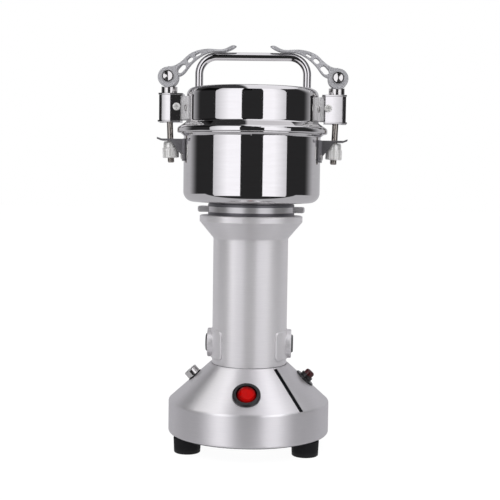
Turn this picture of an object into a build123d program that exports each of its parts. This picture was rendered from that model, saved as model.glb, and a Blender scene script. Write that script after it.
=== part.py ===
from build123d import *
import os
from math import cos, hypot, radians, sin, sqrt, tan

# Electric dry grinder, 340 mm tall. Millimetres, +Z up, axis on Z, front towards -Y.
# The origin is on the floor under the axis.

# Clearances and light edges
SLIP = 0.2          # loose fit of a fixed piece in its bore
RUN = 0.05          # running fit, on the radius
THREAD_GAP = 0.05   # a screw in its thread, on the radius
TOUCH_GAP = 0.3     # free gap beside a moving piece
HOLE_GAP = 0.25     # a screw in its clearance hole, on the radius
OVER = 1.0          # how far a cutter runs past the face it opens
SOFT_EDGE_R = 0.8   # light rounding on turned edges

# Base
FOOT_HEIGHT = 13.0
FOOT_R = 11.6
FOOT_TAPER = 0.6
FOOT_COUNT = 3
FOOT_RECESS_R = 5.0
FOOT_RECESS_DEPTH = 6.0
FOOT_EDGE_R = 1.2
FOOT_TOP_EDGE_R = 0.5
FOOT_ANGLE = 88.5
BASE_R = 68.6
SKIRT_HEIGHT = 27.5
CONE_HEIGHT = 31.5
CONE_LEDGE = 2.0
SHELL_WALL = 3.0
BASE_EDGE_R = 2.4
SHOULDER_R = 2.5
TOP_HOLE_R = 16.0
LEDGE_WIDTH = 3.0
LEDGE_THICK = 3.0
PLATE_THICK = 2.0
PLATE_BOSS_R = 4.5
PLATE_BOSS_HEIGHT = 14.0
PLATE_BOSS_BITE = 1.0
PLATE_SCREW_R = 1.5
PLATE_SCREW_LENGTH = 12.0
PLATE_DIMPLE = 1.0
PLATE_VENT_COUNT = 12
PLATE_VENT_LENGTH = 16.0
PLATE_VENT_WIDTH = 3.0
PLATE_VENT_CIRCLE_R = 30.0
VENT_AZIMUTH = -48.5
VENT_WIDTH = 4.0
VENT_END = 0.8
FOOT_SCREW_R = 2.0
SCREW_HEAD_RATIO = 1.8
SCREW_HEAD_HEIGHT = 2.4
LOW_HEAD_HEIGHT = 1.9
FLAT_HEAD_HEIGHT = 1.2
SCREW_HEAD_ROUND = 0.4
DRIVE_LENGTH_RATIO = 1.1
DRIVE_WIDTH_RATIO = 0.4
SCREW_TAIL = 1.0
SCREW_END_GAP = 0.5
NUT_HEIGHT = 3.2

# Controls on the cone: how far up the slope, and round the axis
SWITCH_SHARE = 0.43
SWITCH_AZIMUTH = -90.0
BEZEL_R = 11.6
BEZEL_HEIGHT = 3.2
BEZEL_EDGE_R = 1.1
SWITCH_BODY_R = 9.9
SWITCH_BODY_DEPTH = 19.0
ROCKER_R = 8.4
ROCKER_DEPTH = 1.6
ROCKER_TILT = 10.0
ROCKER_RISE = 5.4
ROCKER_PIVOT_R = 1.5
ROCKER_PIVOT_LENGTH = 18.0
TERMINAL_LENGTH = 7.0
TERMINAL_WIDTH = 4.8
TERMINAL_THICK = 0.8
TERMINAL_SPACING = 4.0
BREAKER_SHARE = 0.6
BREAKER_AZIMUTH = 0.0
BREAKER_FLANGE_R = 8.9
BREAKER_FLANGE_HEIGHT = 1.9
TRIM_EDGE_R = 0.6
BREAKER_NECK_R = 5.4
BREAKER_NECK_HEIGHT = 3.0
BREAKER_BODY_R = 7.4
BREAKER_BODY_DEPTH = 20.0
BUTTON_R = 4.2
BUTTON_RISE = 4.4
BUTTON_EDGE_R = 2.0
BUTTON_TRAVEL = 2.2
FUSE_SHARE = 0.637
FUSE_AZIMUTH = 180.0
FUSE_CAP_R = 6.0
FUSE_CAP_HEIGHT = 6.2
FUSE_CAP_FOOT_R = 0.4
FUSE_CAP_EDGE_R = 0.9
FUSE_SLOT_WIDTH = 1.6
FUSE_SLOT_DEPTH = 1.2
FUSE_COLLAR_R = 6.8
FUSE_COLLAR_HEIGHT = 1.0
FUSE_BODY_R = 5.4
FUSE_BODY_DEPTH = 29.0
FUSE_WALL = 1.6
FUSE_PLUG_DEPTH = 6.0
GLASS_R = 2.5
GLASS_WALL = 0.7
GLASS_LENGTH = 20.0
FUSE_END_LENGTH = 5.0
FUSE_END_R = 2.7
SEAT_MARGIN = 0.15
GLAND_RISE = 15.6
GLAND_R = 6.0
GLAND_FLANGE_R = 8.2
GLAND_FLANGE_THICK = 3.0
GLAND_BORE_R = 3.6
GLAND_LENGTH = 15.0
WIRE_R = 1.1
LOOM_REAR = (14.0, 28.0)
LOOM_FRONT = (22.4, -16.8)

# Motor column
COLUMN_R = 31.8
COLUMN_WALL = 3.0
COLUMN_STRAIGHT = 107.1
FLARE_HEIGHT = 14.2
FLANGE_R = 43.7
FLANGE_THICK = 5.2
COLUMN_FOOT_R = 0.6
FLARE_BEND_R = 2.5
FLANGE_EDGE_R = 1.2
STATOR_LEDGE = 1.5
STATOR_RISE = 41.5
STACK_HEIGHT = 42.0
LIP_WIDTH = 2.5
LIP_THICK = 3.0
BRUSH_RISE = 17.2
BOSS_R = 12.3
BOSS_END = 35.8
BOSS_START = 19.0
PAD_RISE = 1.4
PAD_HALF_ANGLE = 46.0
PAD_HEIGHT = 24.5
PAD_CORNER_R = 4.0
PAD_EDGE_R = 1.0
CAP_R = 7.7
CAP_DEPTH = 6.0
CAP_DOME = 1.6
CAP_SLOT = 1.4
CAP_SLOT_DEPTH = 1.0
CAP_EDGE_R = 1.4
HOLDER_R = 6.2
HOLDER_GAP = 1.5
BRUSH_WIDTH = 5.0
BRUSH_HEIGHT = 7.0
BRUSH_LENGTH = 13.0
SPRING_WIRE_R = 0.35
SPRING_R = 1.9
SPRING_TURNS = 5
BRACKET_THICK = 4.5
CUP_R = 14.0
CUP_FLOOR = 2.0
COLUMN_SCREW_CIRCLE_R = 21.5
COLUMN_SCREW_COUNT = 4
COLUMN_SCREW_ANGLE = 45.0

# Motor and shaft
SHAFT_R = 4.0
BEARING_R = 11.0
BEARING_WIDTH = 7.0
RACE_WALL = 2.4
SHIELD_RECESS = 0.6
ARMATURE_R = 16.2
AIR_GAP = 0.8
POLE_DEPTH = 6.0
WINDOW_HALF_ANGLE = 36.0
COIL_THICK = 4.4
COIL_OVERHANG = 9.0
COIL_END_ANGLE = 2.0
SLOT_COUNT = 12
SLOT_WIDTH = 3.0
SLOT_DEPTH = 6.5
WINDING_OVERHANG = 11.0
WINDING_R = 15.2
WINDING_EDGE_R = 3.0
WINDING_SLEEVE = 1.0
WINDING_INSET = 0.5
COMMUTATOR_R = 11.0
COMMUTATOR_LENGTH = 16.0
COMMUTATOR_GROOVE = 0.5
COMMUTATOR_GROOVE_DEPTH = 1.0
FAN_R = 25.0
FAN_HUB_R = 8.0
FAN_PLATE = 1.6
FAN_HEIGHT = 9.0
FAN_BLADES = 9
FAN_BLADE_THICK = 1.6
FAN_BLADE_INSET = 1.0
FAN_Z_GAP = 4.0
SPIGOT_DEPTH = 12.0
SHAFT_HOLE_R = 6.0

# Neck, bowl and blades
NECK_R = 36.6
LOWER_NECK = 2.7
DISC_R = 45.4
DISC_THICK = 4.7
DISC_EDGE_R = 1.2
LUG_HALF_WIDTH = 10.0
UPPER_NECK = 3.7
NECK_STEP = 1.4
NECK_STEP_HEIGHT = 1.2
NECK_BORE_R = 13.0
BOWL_R = 57.8
BOWL_WALL = 1.5
BOWL_FLOOR = 2.0
BOWL_CORNER_R = 8.5
BOWL_HEIGHT = 58.8
RIM_REACH = 2.5
RIM_HEIGHT = 3.4
RIM_BEND_R = 1.5
RIM_EDGE_R = 0.5
RIM_INNER_R = 1.2
BOWL_SCREW_R = 2.0
BOWL_SCREW_CIRCLE_R = 32.3
BOWL_SCREW_COUNT = 4
BOWL_SCREW_ANGLE = 45.0
BOWL_SCREW_THREAD = 9.0
SEAL_R = 10.0
SEAL_FLANGE_R = 13.0
SEAL_FLANGE_THICK = 2.0
SEAL_DEPTH = 5.0
COLLAR_R = 7.0
COLLAR_HEIGHT = 3.0
BLADE_TIP_GAP = 8.8
BLADE_WIDTH = 17.0
BLADE_TIP_WIDTH = 9.0
BLADE_THICK = 2.0
BLADE_FLAT = 17.0
LOWER_BLADE_RISE = 3.0
UPPER_BLADE_RISE = 13.0
BLADE_EDGE = 3.0
SPACER_HEIGHT = 6.0
BLADE_NUT_HEIGHT = 7.0
BLADE_NUT_R = 7.5
BLADE_NUT_HEX = 4.9
BLADE_NUT_DOME_R = 6.0
BLADE_NUT_DOME_EDGE = 2.8
BLADE_NUT_ROOF = 1.5

# Lid and handle
LID_INSET = 2.2
LID_WALL = 1.5
LID_HEIGHT = 37.8
LID_EDGE_R = 6.0
LID_OVERHANG = 3.1
LID_HEM = 2.5
LID_BAND = 4.3
LID_FLARE = 5.0
LID_DROP = 0.9
LID_BEND_R = 2.5
LID_INNER_BEND_R = 1.5
HEM_EDGE_R = 1.1
SEAL_RING_HEIGHT = 2.4
SEAL_RING_WIDTH = 2.4
SEAL_RING_EDGE_HEIGHT = 1.9
SEAL_RING_EDGE_R = 0.4
HANDLE_R = 3.4
HANDLE_INSET = 10.1
HANDLE_BEND_R = 15.0
HANDLE_HEIGHT = 30.1

# Clamps: one on each side, mirrored. Lever points are measured inward and up from the pivot pin.
CLAMP_REACH = 15.8
PIN_RISE = 9.5
ROD_LEAN = 2.1     # degrees, foot of the rod towards the bowl
PIN_R = 2.5
PIN_HEAD_R = 4.8
PIN_HEAD_THICK = 0.9
PIN_DISH = 1.2
CAM_R = 8.5
CAM_OFFSET = 0.9
CAM_GAP = 0.35
CAM_HALF_WIDTH = 7.1
CHEEK_GAP = 0.1
LEVER_SLOT = 3.2
LEVER_SLOT_R = 7.0
LEVER_ARM_WIDTH = 9.0
LEVER_TIP_WIDTH = 12.0
LEVER_NARROW = 34.9
LEVER_WIDEN = 49.5
LEVER_BEND_R = 8.0
LEVER_FLARE_R = 20.0
LEVER_TIP_BEND_R = 6.0
LEVER_TIP_R = 3.4
LEVER_TOP = [(0, 8.0), (6.5, 9.1), (12.2, 13.2), (18.2, 18.7), (26.9, 22.2), (34.5, 23.1), (42.5, 22.6)]
LEVER_TIP = [(48.5, 23.5), (54.7, 26.1), (57.2, 25.6)]
LEVER_UNDER = [(53.6, 23.4), (48.0, 21.3), (42.5, 21.0), (35.5, 20.6), (28.0, 17.5), (21.6, 12.7)]
LEVER_HEEL = [(17.2, 8.0), (13.9, 3.6), (8.4, 0.2)]
LEVER_HOLES = [(11.3, 6.3, 8.6, 5.2, 48), (18.3, 13.9, 5.8, 3.9, 42), (25.0, 18.3, 5.2, 2.3, 28)]
EYE_R = 6.4
EYE_HALF_WIDTH = 2.8
ROD_R = 2.6
ROD_TAIL = 4.0
ROD_SLOT = 0.6
ROD_CHAMFER = 0.6
SADDLE_R = 7.0
SADDLE_TOP_RISE = 1.0
GROOVE_R = 13.0
BOX_DROP = 4.9
BOX_HEIGHT = 24.2
BOX_SHEET = 1.5
BOX_OUT = 6.8
BOX_IN = 11.2
BOX_HALF_WIDTH = 9.5
BOX_TOP_IN = 13.0
BOX_LIP = 1.0
BOX_FRONT_LIP = 0.7
BOX_LIP_EDGE_R = 0.6
CROSS_SCREW_IN = 7.9
CROSS_SCREW_R = 2.0
CROSS_HEAD_R = 3.2
EAR_SHEET = 1.5
EAR_REACH = 1.6
EAR_GAP = 0.1
EAR_INSET = 0.6
STRIP_SHEET = 1.5
LID_STRIP_ANGLE = 22.0
LID_STRIP_LOW = 10.9
LID_STRIP_HEIGHT = 19.0
LID_RIVET_ANGLE = 15.0
HOOK_DROP = 6.1
HOOK_SHEET = 1.5
HOOK_REACH = 10.6
HOOK_FLAT = 7.4
HOOK_UPTURN = 1.3
HOOK_HALF_WIDTH = 8.6
HOOK_STRIP_ANGLE = 18.0
HOOK_STRIP_HEIGHT = 18.5
GUSSET_REACH = 11.0
GUSSET_HEIGHT = 14.0
HOOK_RIVET_ANGLE = 12.5
HOOK_RIVET_DROP = 14.5
RIVET_R = 1.5
RIVET_HEAD_R = 2.9
RIVET_HEAD_HEIGHT = 1.3
RIVET_EDGE_R = 1.0
RIVET_TAIL_R = 2.4
RIVET_TAIL_HEIGHT = 0.8
NUT_TOP_GAP = 0.6
NUT_NOSE_R = 5.4
NUT_NOSE_HEIGHT = 2.0
NUT_COLLAR_R = 6.0
NUT_COLLAR_HEIGHT = 3.4
NUT_KNURL_R = 6.9
NUT_KNURL_HEIGHT = 8.6
NUT_CHAMFER = 1.0
NUT_EDGE_R = 0.6
KNURL_COUNT = 30
KNURL_DEPTH = 0.45

# Heights and lengths that follow from the sizes above
BASE_Z = FOOT_HEIGHT
PLATE_TOP_Z = BASE_Z + PLATE_THICK
CONE_Z = BASE_Z + SKIRT_HEIGHT
COLUMN_Z = CONE_Z + CONE_HEIGHT
CONE_TOP_R = COLUMN_R + CONE_LEDGE
CONE_RUN = BASE_R - CONE_TOP_R
CONE_SLOPE = hypot(CONE_RUN, CONE_HEIGHT)
NORMAL_OUT = CONE_HEIGHT / CONE_SLOPE
NORMAL_UP = CONE_RUN / CONE_SLOPE
SHELL_BORE_R = BASE_R - SHELL_WALL
PLATE_R = SHELL_BORE_R - SLIP
PLATE_SCREW_CIRCLE_R = SHELL_BORE_R - PLATE_BOSS_R + PLATE_BOSS_BITE
PLATE_SCREW_ANGLE = FOOT_ANGLE + 180 / FOOT_COUNT
FOOT_CIRCLE_R = BASE_R - FOOT_R
GLAND_Z = BASE_Z + GLAND_RISE
FLARE_Z = COLUMN_Z + COLUMN_STRAIGHT
FLANGE_Z = FLARE_Z + FLARE_HEIGHT
COLUMN_TOP_Z = FLANGE_Z + FLANGE_THICK
UPPER_BORE_R = COLUMN_R - COLUMN_WALL
LOWER_BORE_R = UPPER_BORE_R - STATOR_LEDGE
BRACKET_TOP_Z = COLUMN_Z + BRACKET_THICK
BRUSH_Z = COLUMN_Z + BRUSH_RISE
STATOR_Z = COLUMN_Z + STATOR_RISE
STACK_TOP_Z = STATOR_Z + STACK_HEIGHT
STATOR_R = UPPER_BORE_R - SLIP
STATOR_BORE_R = ARMATURE_R + AIR_GAP
WINDOW_R = STATOR_BORE_R + POLE_DEPTH
FAN_Z = STACK_TOP_Z + WINDING_OVERHANG + FAN_Z_GAP
LOWER_BEARING_Z = COLUMN_Z - BEARING_WIDTH
UPPER_BEARING_Z = COLUMN_TOP_Z - SPIGOT_DEPTH
DISC_Z = COLUMN_TOP_Z + LOWER_NECK
RING_Z = DISC_Z + DISC_THICK
BOWL_Z = RING_Z + UPPER_NECK
FLOOR_Z = BOWL_Z + BOWL_FLOOR
RIM_Z = BOWL_Z + BOWL_HEIGHT
RIM_R = BOWL_R + RIM_REACH
BLADE_REACH = BOWL_R - BLADE_TIP_GAP
BLADE_Z = FLOOR_Z + SEAL_FLANGE_THICK + TOUCH_GAP + COLLAR_HEIGHT
SPACER_Z = BLADE_Z + BLADE_THICK
UPPER_BLADE_Z = SPACER_Z + SPACER_HEIGHT
BLADE_NUT_Z = UPPER_BLADE_Z + BLADE_THICK
LID_R = BOWL_R - LID_INSET
LID_FLANGE_R = RIM_R + LID_OVERHANG
LID_Z = RIM_Z - LID_DROP
LID_TOP_Z = LID_Z + LID_HEIGHT
LID_FLARE_Z = LID_Z + LID_BAND
LID_WALL_Z = LID_FLARE_Z + LID_FLARE
HANDLE_Z = LID_TOP_Z + HANDLE_HEIGHT - HANDLE_R
HANDLE_LEG_X = LID_R - HANDLE_INSET
CLAMP_X = LID_R + CLAMP_REACH
PIN_Z = LID_TOP_Z + PIN_RISE
CAM_Z = PIN_Z - CAM_OFFSET
SADDLE_BED_Z = CAM_Z - CAM_R - CAM_GAP
BOX_TOP_Z = LID_TOP_Z - BOX_DROP
BOX_Z = BOX_TOP_Z - BOX_HEIGHT
CROSS_SCREW_Z = BOX_Z + BOX_HEIGHT / 2 + BOX_SHEET / 2
LID_STRIP_Z = LID_Z + LID_STRIP_LOW
LID_RIVET_Z = LID_STRIP_Z + LID_STRIP_HEIGHT / 2
HOOK_Z = RIM_Z - HOOK_DROP
HOOK_RIVET_Z = HOOK_Z - HOOK_RIVET_DROP
NUT_TOP_Z = HOOK_Z - HOOK_SHEET - NUT_TOP_GAP
NUT_Z = NUT_TOP_Z - NUT_NOSE_HEIGHT - NUT_COLLAR_HEIGHT - NUT_KNURL_HEIGHT
SLOT_HALF = ROD_R + ROD_SLOT


def post(r, low, high, x=0.0, y=0.0):
    return Pos(x, y, (low + high) / 2) * Cylinder(r, high - low)


def bar_x(r, start, end, z):
    return Pos((start + end) / 2, 0, z) * Cylinder(r, abs(end - start), rotation=(0, 90, 0))


def bar_y(r, start, end, x, z):
    return Pos(x, (start + end) / 2, z) * Cylinder(r, abs(end - start), rotation=(90, 0, 0))


def block(x0, x1, y0, y1, z0, z1):
    middle = Pos((x0 + x1) / 2, (y0 + y1) / 2, (z0 + z1) / 2)
    return middle * Box(x1 - x0, y1 - y0, z1 - z0)


def turned(outline, radii=None, arc=360.0):
    """A solid of revolution about Z from (radius, height) points, each with its corner radius."""
    radii = radii or [0] * len(outline)
    edge = Plane.XZ * FilletPolyline(*outline, radius=radii, close=True)
    return revolve(make_face(edge), axis=Axis.Z, revolution_arc=arc)


def ring(r_out, r_in, low, high):
    return turned([(r_in, low), (r_out, low), (r_out, high), (r_in, high)])


def sector(r_out, r_in, low, high, start, end):
    outline = [(r_in, low), (r_out, low), (r_out, high), (r_in, high)]
    return Rot(0, 0, start) * turned(outline, arc=end - start)


def side_plate(outline, y0, y1):
    """A plate from (x, z) points, between two values of Y."""
    face = make_face(Plane.XZ * Polyline(*outline, close=True))
    return Pos(0, y0, 0) * extrude(face, y1 - y0, dir=(0, 1, 0))


def around(shape, count, start=0.0):
    return [Rot(0, 0, start + 360 / count * i) * shape for i in range(count)]


def group(shapes):
    return Compound([solid for shape in shapes for solid in shape.solids()])


def mirrored(shape):
    return mirror(shape, about=Plane.YZ)


def both_sides(shape):
    return group([shape, mirrored(shape)])


def cone_seat(azimuth, share):
    """A plane on the cone: X round the axis, Y up the slope, Z straight out."""
    out_x = cos(radians(azimuth))
    out_y = sin(radians(azimuth))
    r = BASE_R - CONE_RUN * share
    origin = (r * out_x, r * out_y, CONE_Z + CONE_HEIGHT * share)
    normal = (NORMAL_OUT * out_x, NORMAL_OUT * out_y, NORMAL_UP)
    return Plane(origin=origin, x_dir=(-out_y, out_x, 0), z_dir=normal)


def seat_depth(share, flange_r):
    """How deep a flat seat of this radius is cut, so that all of it lies below the cone."""
    bend_r = (BASE_R - CONE_RUN * share) / NORMAL_OUT
    return bend_r - sqrt(bend_r ** 2 - flange_r ** 2) + SEAT_MARGIN


SWITCH_SEAT = cone_seat(SWITCH_AZIMUTH, SWITCH_SHARE)
BREAKER_SEAT = cone_seat(BREAKER_AZIMUTH, BREAKER_SHARE)
FUSE_SEAT = cone_seat(FUSE_AZIMUTH, FUSE_SHARE)
SWITCH_SINK = seat_depth(SWITCH_SHARE, BEZEL_R)
BREAKER_SINK = seat_depth(BREAKER_SHARE, BREAKER_FLANGE_R)
FUSE_SINK = seat_depth(FUSE_SHARE, FUSE_COLLAR_R)


def hex_post(r, low, high, x=0.0, y=0.0):
    prism = extrude(RegularPolygon(r, 6), high - low)
    return Pos(x, y, low) * prism


def screw(r, tip, seat, head_height=SCREW_HEAD_HEIGHT, head_r=None):
    """A pan-head screw on the Z axis, head above the seat and shank down to the tip."""
    head_r = head_r or r * SCREW_HEAD_RATIO
    head = post(head_r, seat, seat + head_height)
    head = fillet(head.edges().group_by(Axis.Z)[-1], head_height * SCREW_HEAD_ROUND)
    drive_length = head_r * DRIVE_LENGTH_RATIO
    drive_width = r * DRIVE_WIDTH_RATIO
    cross = Box(drive_length, drive_width, head_height) + Box(drive_width, drive_length, head_height)
    return head + post(r, tip, seat) - Pos(0, 0, seat + head_height) * cross


# Base and feet
def base_shell():
    cone_bore_z = COLUMN_Z - SHELL_WALL
    cone_bore_r = BASE_R - (SHELL_WALL + (cone_bore_z - CONE_Z) * NORMAL_UP) / NORMAL_OUT
    skirt_bore_z = CONE_Z - SHELL_WALL * (1 - NORMAL_OUT) / NORMAL_UP
    ledge_r = SHELL_BORE_R - LEDGE_WIDTH
    ledge_z = PLATE_TOP_Z + LEDGE_THICK
    outline = [
        (SHELL_BORE_R, BASE_Z), (BASE_R, BASE_Z), (BASE_R, CONE_Z), (CONE_TOP_R, COLUMN_Z),
        (TOP_HOLE_R, COLUMN_Z), (TOP_HOLE_R, cone_bore_z), (cone_bore_r, cone_bore_z),
        (SHELL_BORE_R, skirt_bore_z), (SHELL_BORE_R, ledge_z), (ledge_r, ledge_z),
        (ledge_r, PLATE_TOP_Z), (SHELL_BORE_R, PLATE_TOP_Z),
    ]
    shell = turned(outline, [0, BASE_EDGE_R, SHOULDER_R, SOFT_EDGE_R] + [0] * 8)
    boss = post(PLATE_BOSS_R, PLATE_TOP_Z, PLATE_TOP_Z + PLATE_BOSS_HEIGHT, PLATE_SCREW_CIRCLE_R)
    pilot_top = PLATE_TOP_Z + PLATE_SCREW_LENGTH
    pilot = post(PLATE_SCREW_R + THREAD_GAP, PLATE_TOP_Z - OVER, pilot_top, PLATE_SCREW_CIRCLE_R)
    shell += around(boss, FOOT_COUNT, PLATE_SCREW_ANGLE)
    shell -= around(pilot, FOOT_COUNT, PLATE_SCREW_ANGLE)
    for seat, sink, seat_r, hole_r in (
        (SWITCH_SEAT, SWITCH_SINK, BEZEL_R + SLIP, SWITCH_BODY_R + SLIP),
        (BREAKER_SEAT, BREAKER_SINK, BREAKER_FLANGE_R + SLIP, BREAKER_BODY_R + SLIP),
        (FUSE_SEAT, FUSE_SINK, FUSE_COLLAR_R + SLIP, FUSE_BODY_R + SLIP),
    ):
        shell -= seat * post(seat_r, -sink, SHELL_WALL)
        shell -= seat * post(hole_r, -2 * SHELL_WALL, SHELL_WALL)
    slope_middle = cone_seat(VENT_AZIMUTH, 0.5)
    shell -= slope_middle * Box(VENT_WIDTH, CONE_SLOPE - 2 * VENT_END, 4 * SHELL_WALL)
    shell -= bar_y(GLAND_R + SLIP, SHELL_BORE_R - SHELL_WALL, BASE_R + OVER, 0, GLAND_Z)
    hole = post(FOOT_SCREW_R + HOLE_GAP, cone_bore_z - OVER, COLUMN_Z + OVER, COLUMN_SCREW_CIRCLE_R)
    return shell - around(hole, COLUMN_SCREW_COUNT, COLUMN_SCREW_ANGLE)


def base_plate():
    plate = post(PLATE_R, BASE_Z, PLATE_TOP_Z)
    foot_hole = post(FOOT_SCREW_R + HOLE_GAP, BASE_Z, PLATE_TOP_Z, FOOT_CIRCLE_R)
    screw_hole = post(PLATE_SCREW_R + HOLE_GAP, BASE_Z, PLATE_TOP_Z, PLATE_SCREW_CIRCLE_R)
    dimple_r = PLATE_SCREW_R * SCREW_HEAD_RATIO + HOLE_GAP
    screw_hole += post(dimple_r, BASE_Z, BASE_Z + PLATE_DIMPLE, PLATE_SCREW_CIRCLE_R)
    vent = extrude(SlotOverall(PLATE_VENT_LENGTH, PLATE_VENT_WIDTH), PLATE_THICK)
    vent = Pos(PLATE_VENT_CIRCLE_R, 0, BASE_Z) * vent
    plate -= around(foot_hole, FOOT_COUNT, FOOT_ANGLE)
    plate -= around(screw_hole, FOOT_COUNT, PLATE_SCREW_ANGLE)
    return plate - around(vent, PLATE_VENT_COUNT)


def base_plate_screws():
    one = Rot(180, 0, 0) * screw(PLATE_SCREW_R, -PLATE_SCREW_LENGTH, 0, FLAT_HEAD_HEIGHT)
    one = Pos(PLATE_SCREW_CIRCLE_R, 0, BASE_Z + PLATE_DIMPLE) * one
    return group(around(one, FOOT_COUNT, PLATE_SCREW_ANGLE))


def rubber_feet():
    outline = [(0, 0), (FOOT_R - FOOT_TAPER, 0), (FOOT_R, FOOT_HEIGHT), (0, FOOT_HEIGHT)]
    foot = turned(outline, [0, FOOT_EDGE_R, FOOT_TOP_EDGE_R, 0])
    foot -= post(FOOT_RECESS_R, 0, FOOT_RECESS_DEPTH)
    foot -= post(FOOT_SCREW_R + HOLE_GAP, 0, FOOT_HEIGHT)
    return group(around(Pos(FOOT_CIRCLE_R, 0, 0) * foot, FOOT_COUNT, FOOT_ANGLE))


def foot_screws():
    tip = PLATE_TOP_Z + NUT_HEIGHT + SCREW_TAIL
    bolt = Rot(180, 0, 0) * screw(FOOT_SCREW_R, FOOT_RECESS_DEPTH - tip, 0)
    bolt = Pos(0, 0, FOOT_RECESS_DEPTH) * bolt
    nut = hex_post(FOOT_SCREW_R * SCREW_HEAD_RATIO, PLATE_TOP_Z, PLATE_TOP_Z + NUT_HEIGHT)
    nut -= post(FOOT_SCREW_R + THREAD_GAP, PLATE_TOP_Z, PLATE_TOP_Z + NUT_HEIGHT)
    place = Pos(FOOT_CIRCLE_R, 0, 0)
    bolts = around(place * bolt, FOOT_COUNT, FOOT_ANGLE)
    nuts = around(place * nut, FOOT_COUNT, FOOT_ANGLE)
    return group(bolts + nuts)


# Rocker switch
def switch_housing():
    top = BEZEL_HEIGHT - SWITCH_SINK
    outline = [(0, -SWITCH_SINK), (BEZEL_R, -SWITCH_SINK), (BEZEL_R, top), (0, top)]
    bezel = turned(outline, [0, 0, BEZEL_EDGE_R, 0])
    body = post(SWITCH_BODY_R, -SWITCH_BODY_DEPTH, -SWITCH_SINK)
    window = post(ROCKER_R + TOUCH_GAP, -ROCKER_DEPTH - ROCKER_R - TOUCH_GAP, BEZEL_HEIGHT)
    socket_end = ROCKER_PIVOT_LENGTH / 2 + SLIP
    sockets = bar_y(ROCKER_PIVOT_R + RUN, -socket_end, socket_end, 0, -ROCKER_DEPTH)
    return SWITCH_SEAT * (bezel + body - window - sockets)


def switch_rocker():
    ball = Pos(0, 0, -ROCKER_DEPTH) * Sphere(ROCKER_R)
    reach = 2 * ROCKER_R
    valley = Pos(0, 0, ROCKER_RISE - ROCKER_DEPTH)
    for lean in (ROCKER_TILT, -ROCKER_TILT):
        half = Pos(reach / 2 if lean > 0 else -reach / 2, 0, reach / 2) * Box(reach, 2 * reach, reach)
        ball -= valley * (Rot(0, -lean, 0) * half)
    pivot = Pos(0, 0, -ROCKER_DEPTH)
    ball -= pivot * (Pos(0, 0, -ROCKER_R) * Box(2 * reach, 2 * reach, ROCKER_R))
    ball += bar_y(ROCKER_PIVOT_R, -ROCKER_PIVOT_LENGTH / 2, ROCKER_PIVOT_LENGTH / 2, 0, -ROCKER_DEPTH)
    return SWITCH_SEAT * (pivot * (Rot(0, ROCKER_TILT, 0) * (pivot.inverse() * ball)))


def switch_terminals():
    low = -SWITCH_BODY_DEPTH - TERMINAL_LENGTH
    half_thick = TERMINAL_THICK / 2
    half_width = TERMINAL_WIDTH / 2
    blades = []
    for side in (-1, 1):
        x = side * TERMINAL_SPACING
        blade = block(x - half_thick, x + half_thick, -half_width, half_width, low, -SWITCH_BODY_DEPTH)
        blades.append(SWITCH_SEAT * blade)
    return group(blades)


# Breaker with its reset button
def breaker_housing():
    top = BREAKER_FLANGE_HEIGHT - BREAKER_SINK
    flange = post(BREAKER_FLANGE_R, -BREAKER_SINK, top)
    flange = fillet(flange.edges().group_by(Axis.Z)[-1], TRIM_EDGE_R)
    neck = post(BREAKER_NECK_R, top, top + BREAKER_NECK_HEIGHT)
    body = post(BREAKER_BODY_R, -BREAKER_BODY_DEPTH, -BREAKER_SINK)
    bore_low = -BREAKER_NECK_HEIGHT - BUTTON_TRAVEL - TOUCH_GAP
    bore = post(BUTTON_R + RUN, bore_low, top + BREAKER_NECK_HEIGHT)
    return BREAKER_SEAT * (flange + neck + body - bore)


def reset_button():
    top = BREAKER_FLANGE_HEIGHT - BREAKER_SINK + BREAKER_NECK_HEIGHT
    button = post(BUTTON_R, -BREAKER_NECK_HEIGHT, top + BUTTON_RISE)
    button = fillet(button.edges().group_by(Axis.Z)[-1], BUTTON_EDGE_R)
    return BREAKER_SEAT * button


# Fuse holder with its screw cap
def fuse_holder():
    collar = post(FUSE_COLLAR_R, -FUSE_SINK, FUSE_COLLAR_HEIGHT - FUSE_SINK)
    collar = fillet(collar.edges().group_by(Axis.Z)[-1], TRIM_EDGE_R)
    body = post(FUSE_BODY_R, -FUSE_BODY_DEPTH, -FUSE_SINK)
    bore = post(FUSE_BODY_R - FUSE_WALL, -FUSE_BODY_DEPTH + FUSE_WALL, FUSE_COLLAR_HEIGHT)
    return FUSE_SEAT * (collar + body - bore)


def fuse_cap():
    low = FUSE_COLLAR_HEIGHT - FUSE_SINK + RUN
    high = low + FUSE_CAP_HEIGHT
    outline = [(0, low), (FUSE_CAP_R, low), (FUSE_CAP_R, high), (0, high)]
    cap = turned(outline, [0, FUSE_CAP_FOOT_R, FUSE_CAP_EDGE_R, 0])
    cap -= Pos(0, 0, high) * Box(2 * FUSE_CAP_R, FUSE_SLOT_WIDTH, 2 * FUSE_SLOT_DEPTH)
    plug = post(FUSE_BODY_R - FUSE_WALL - RUN, -FUSE_PLUG_DEPTH, low)
    return FUSE_SEAT * (cap + plug)


def glass_fuse():
    high = -FUSE_PLUG_DEPTH - TOUCH_GAP
    low = high - GLASS_LENGTH
    caps = [
        post(FUSE_END_R, low, low + FUSE_END_LENGTH),
        post(FUSE_END_R, high - FUSE_END_LENGTH, high),
    ]
    tube = ring(GLASS_R, GLASS_R - GLASS_WALL, low + FUSE_END_LENGTH, high - FUSE_END_LENGTH)
    return group([FUSE_SEAT * piece for piece in caps + [tube]])


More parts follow.
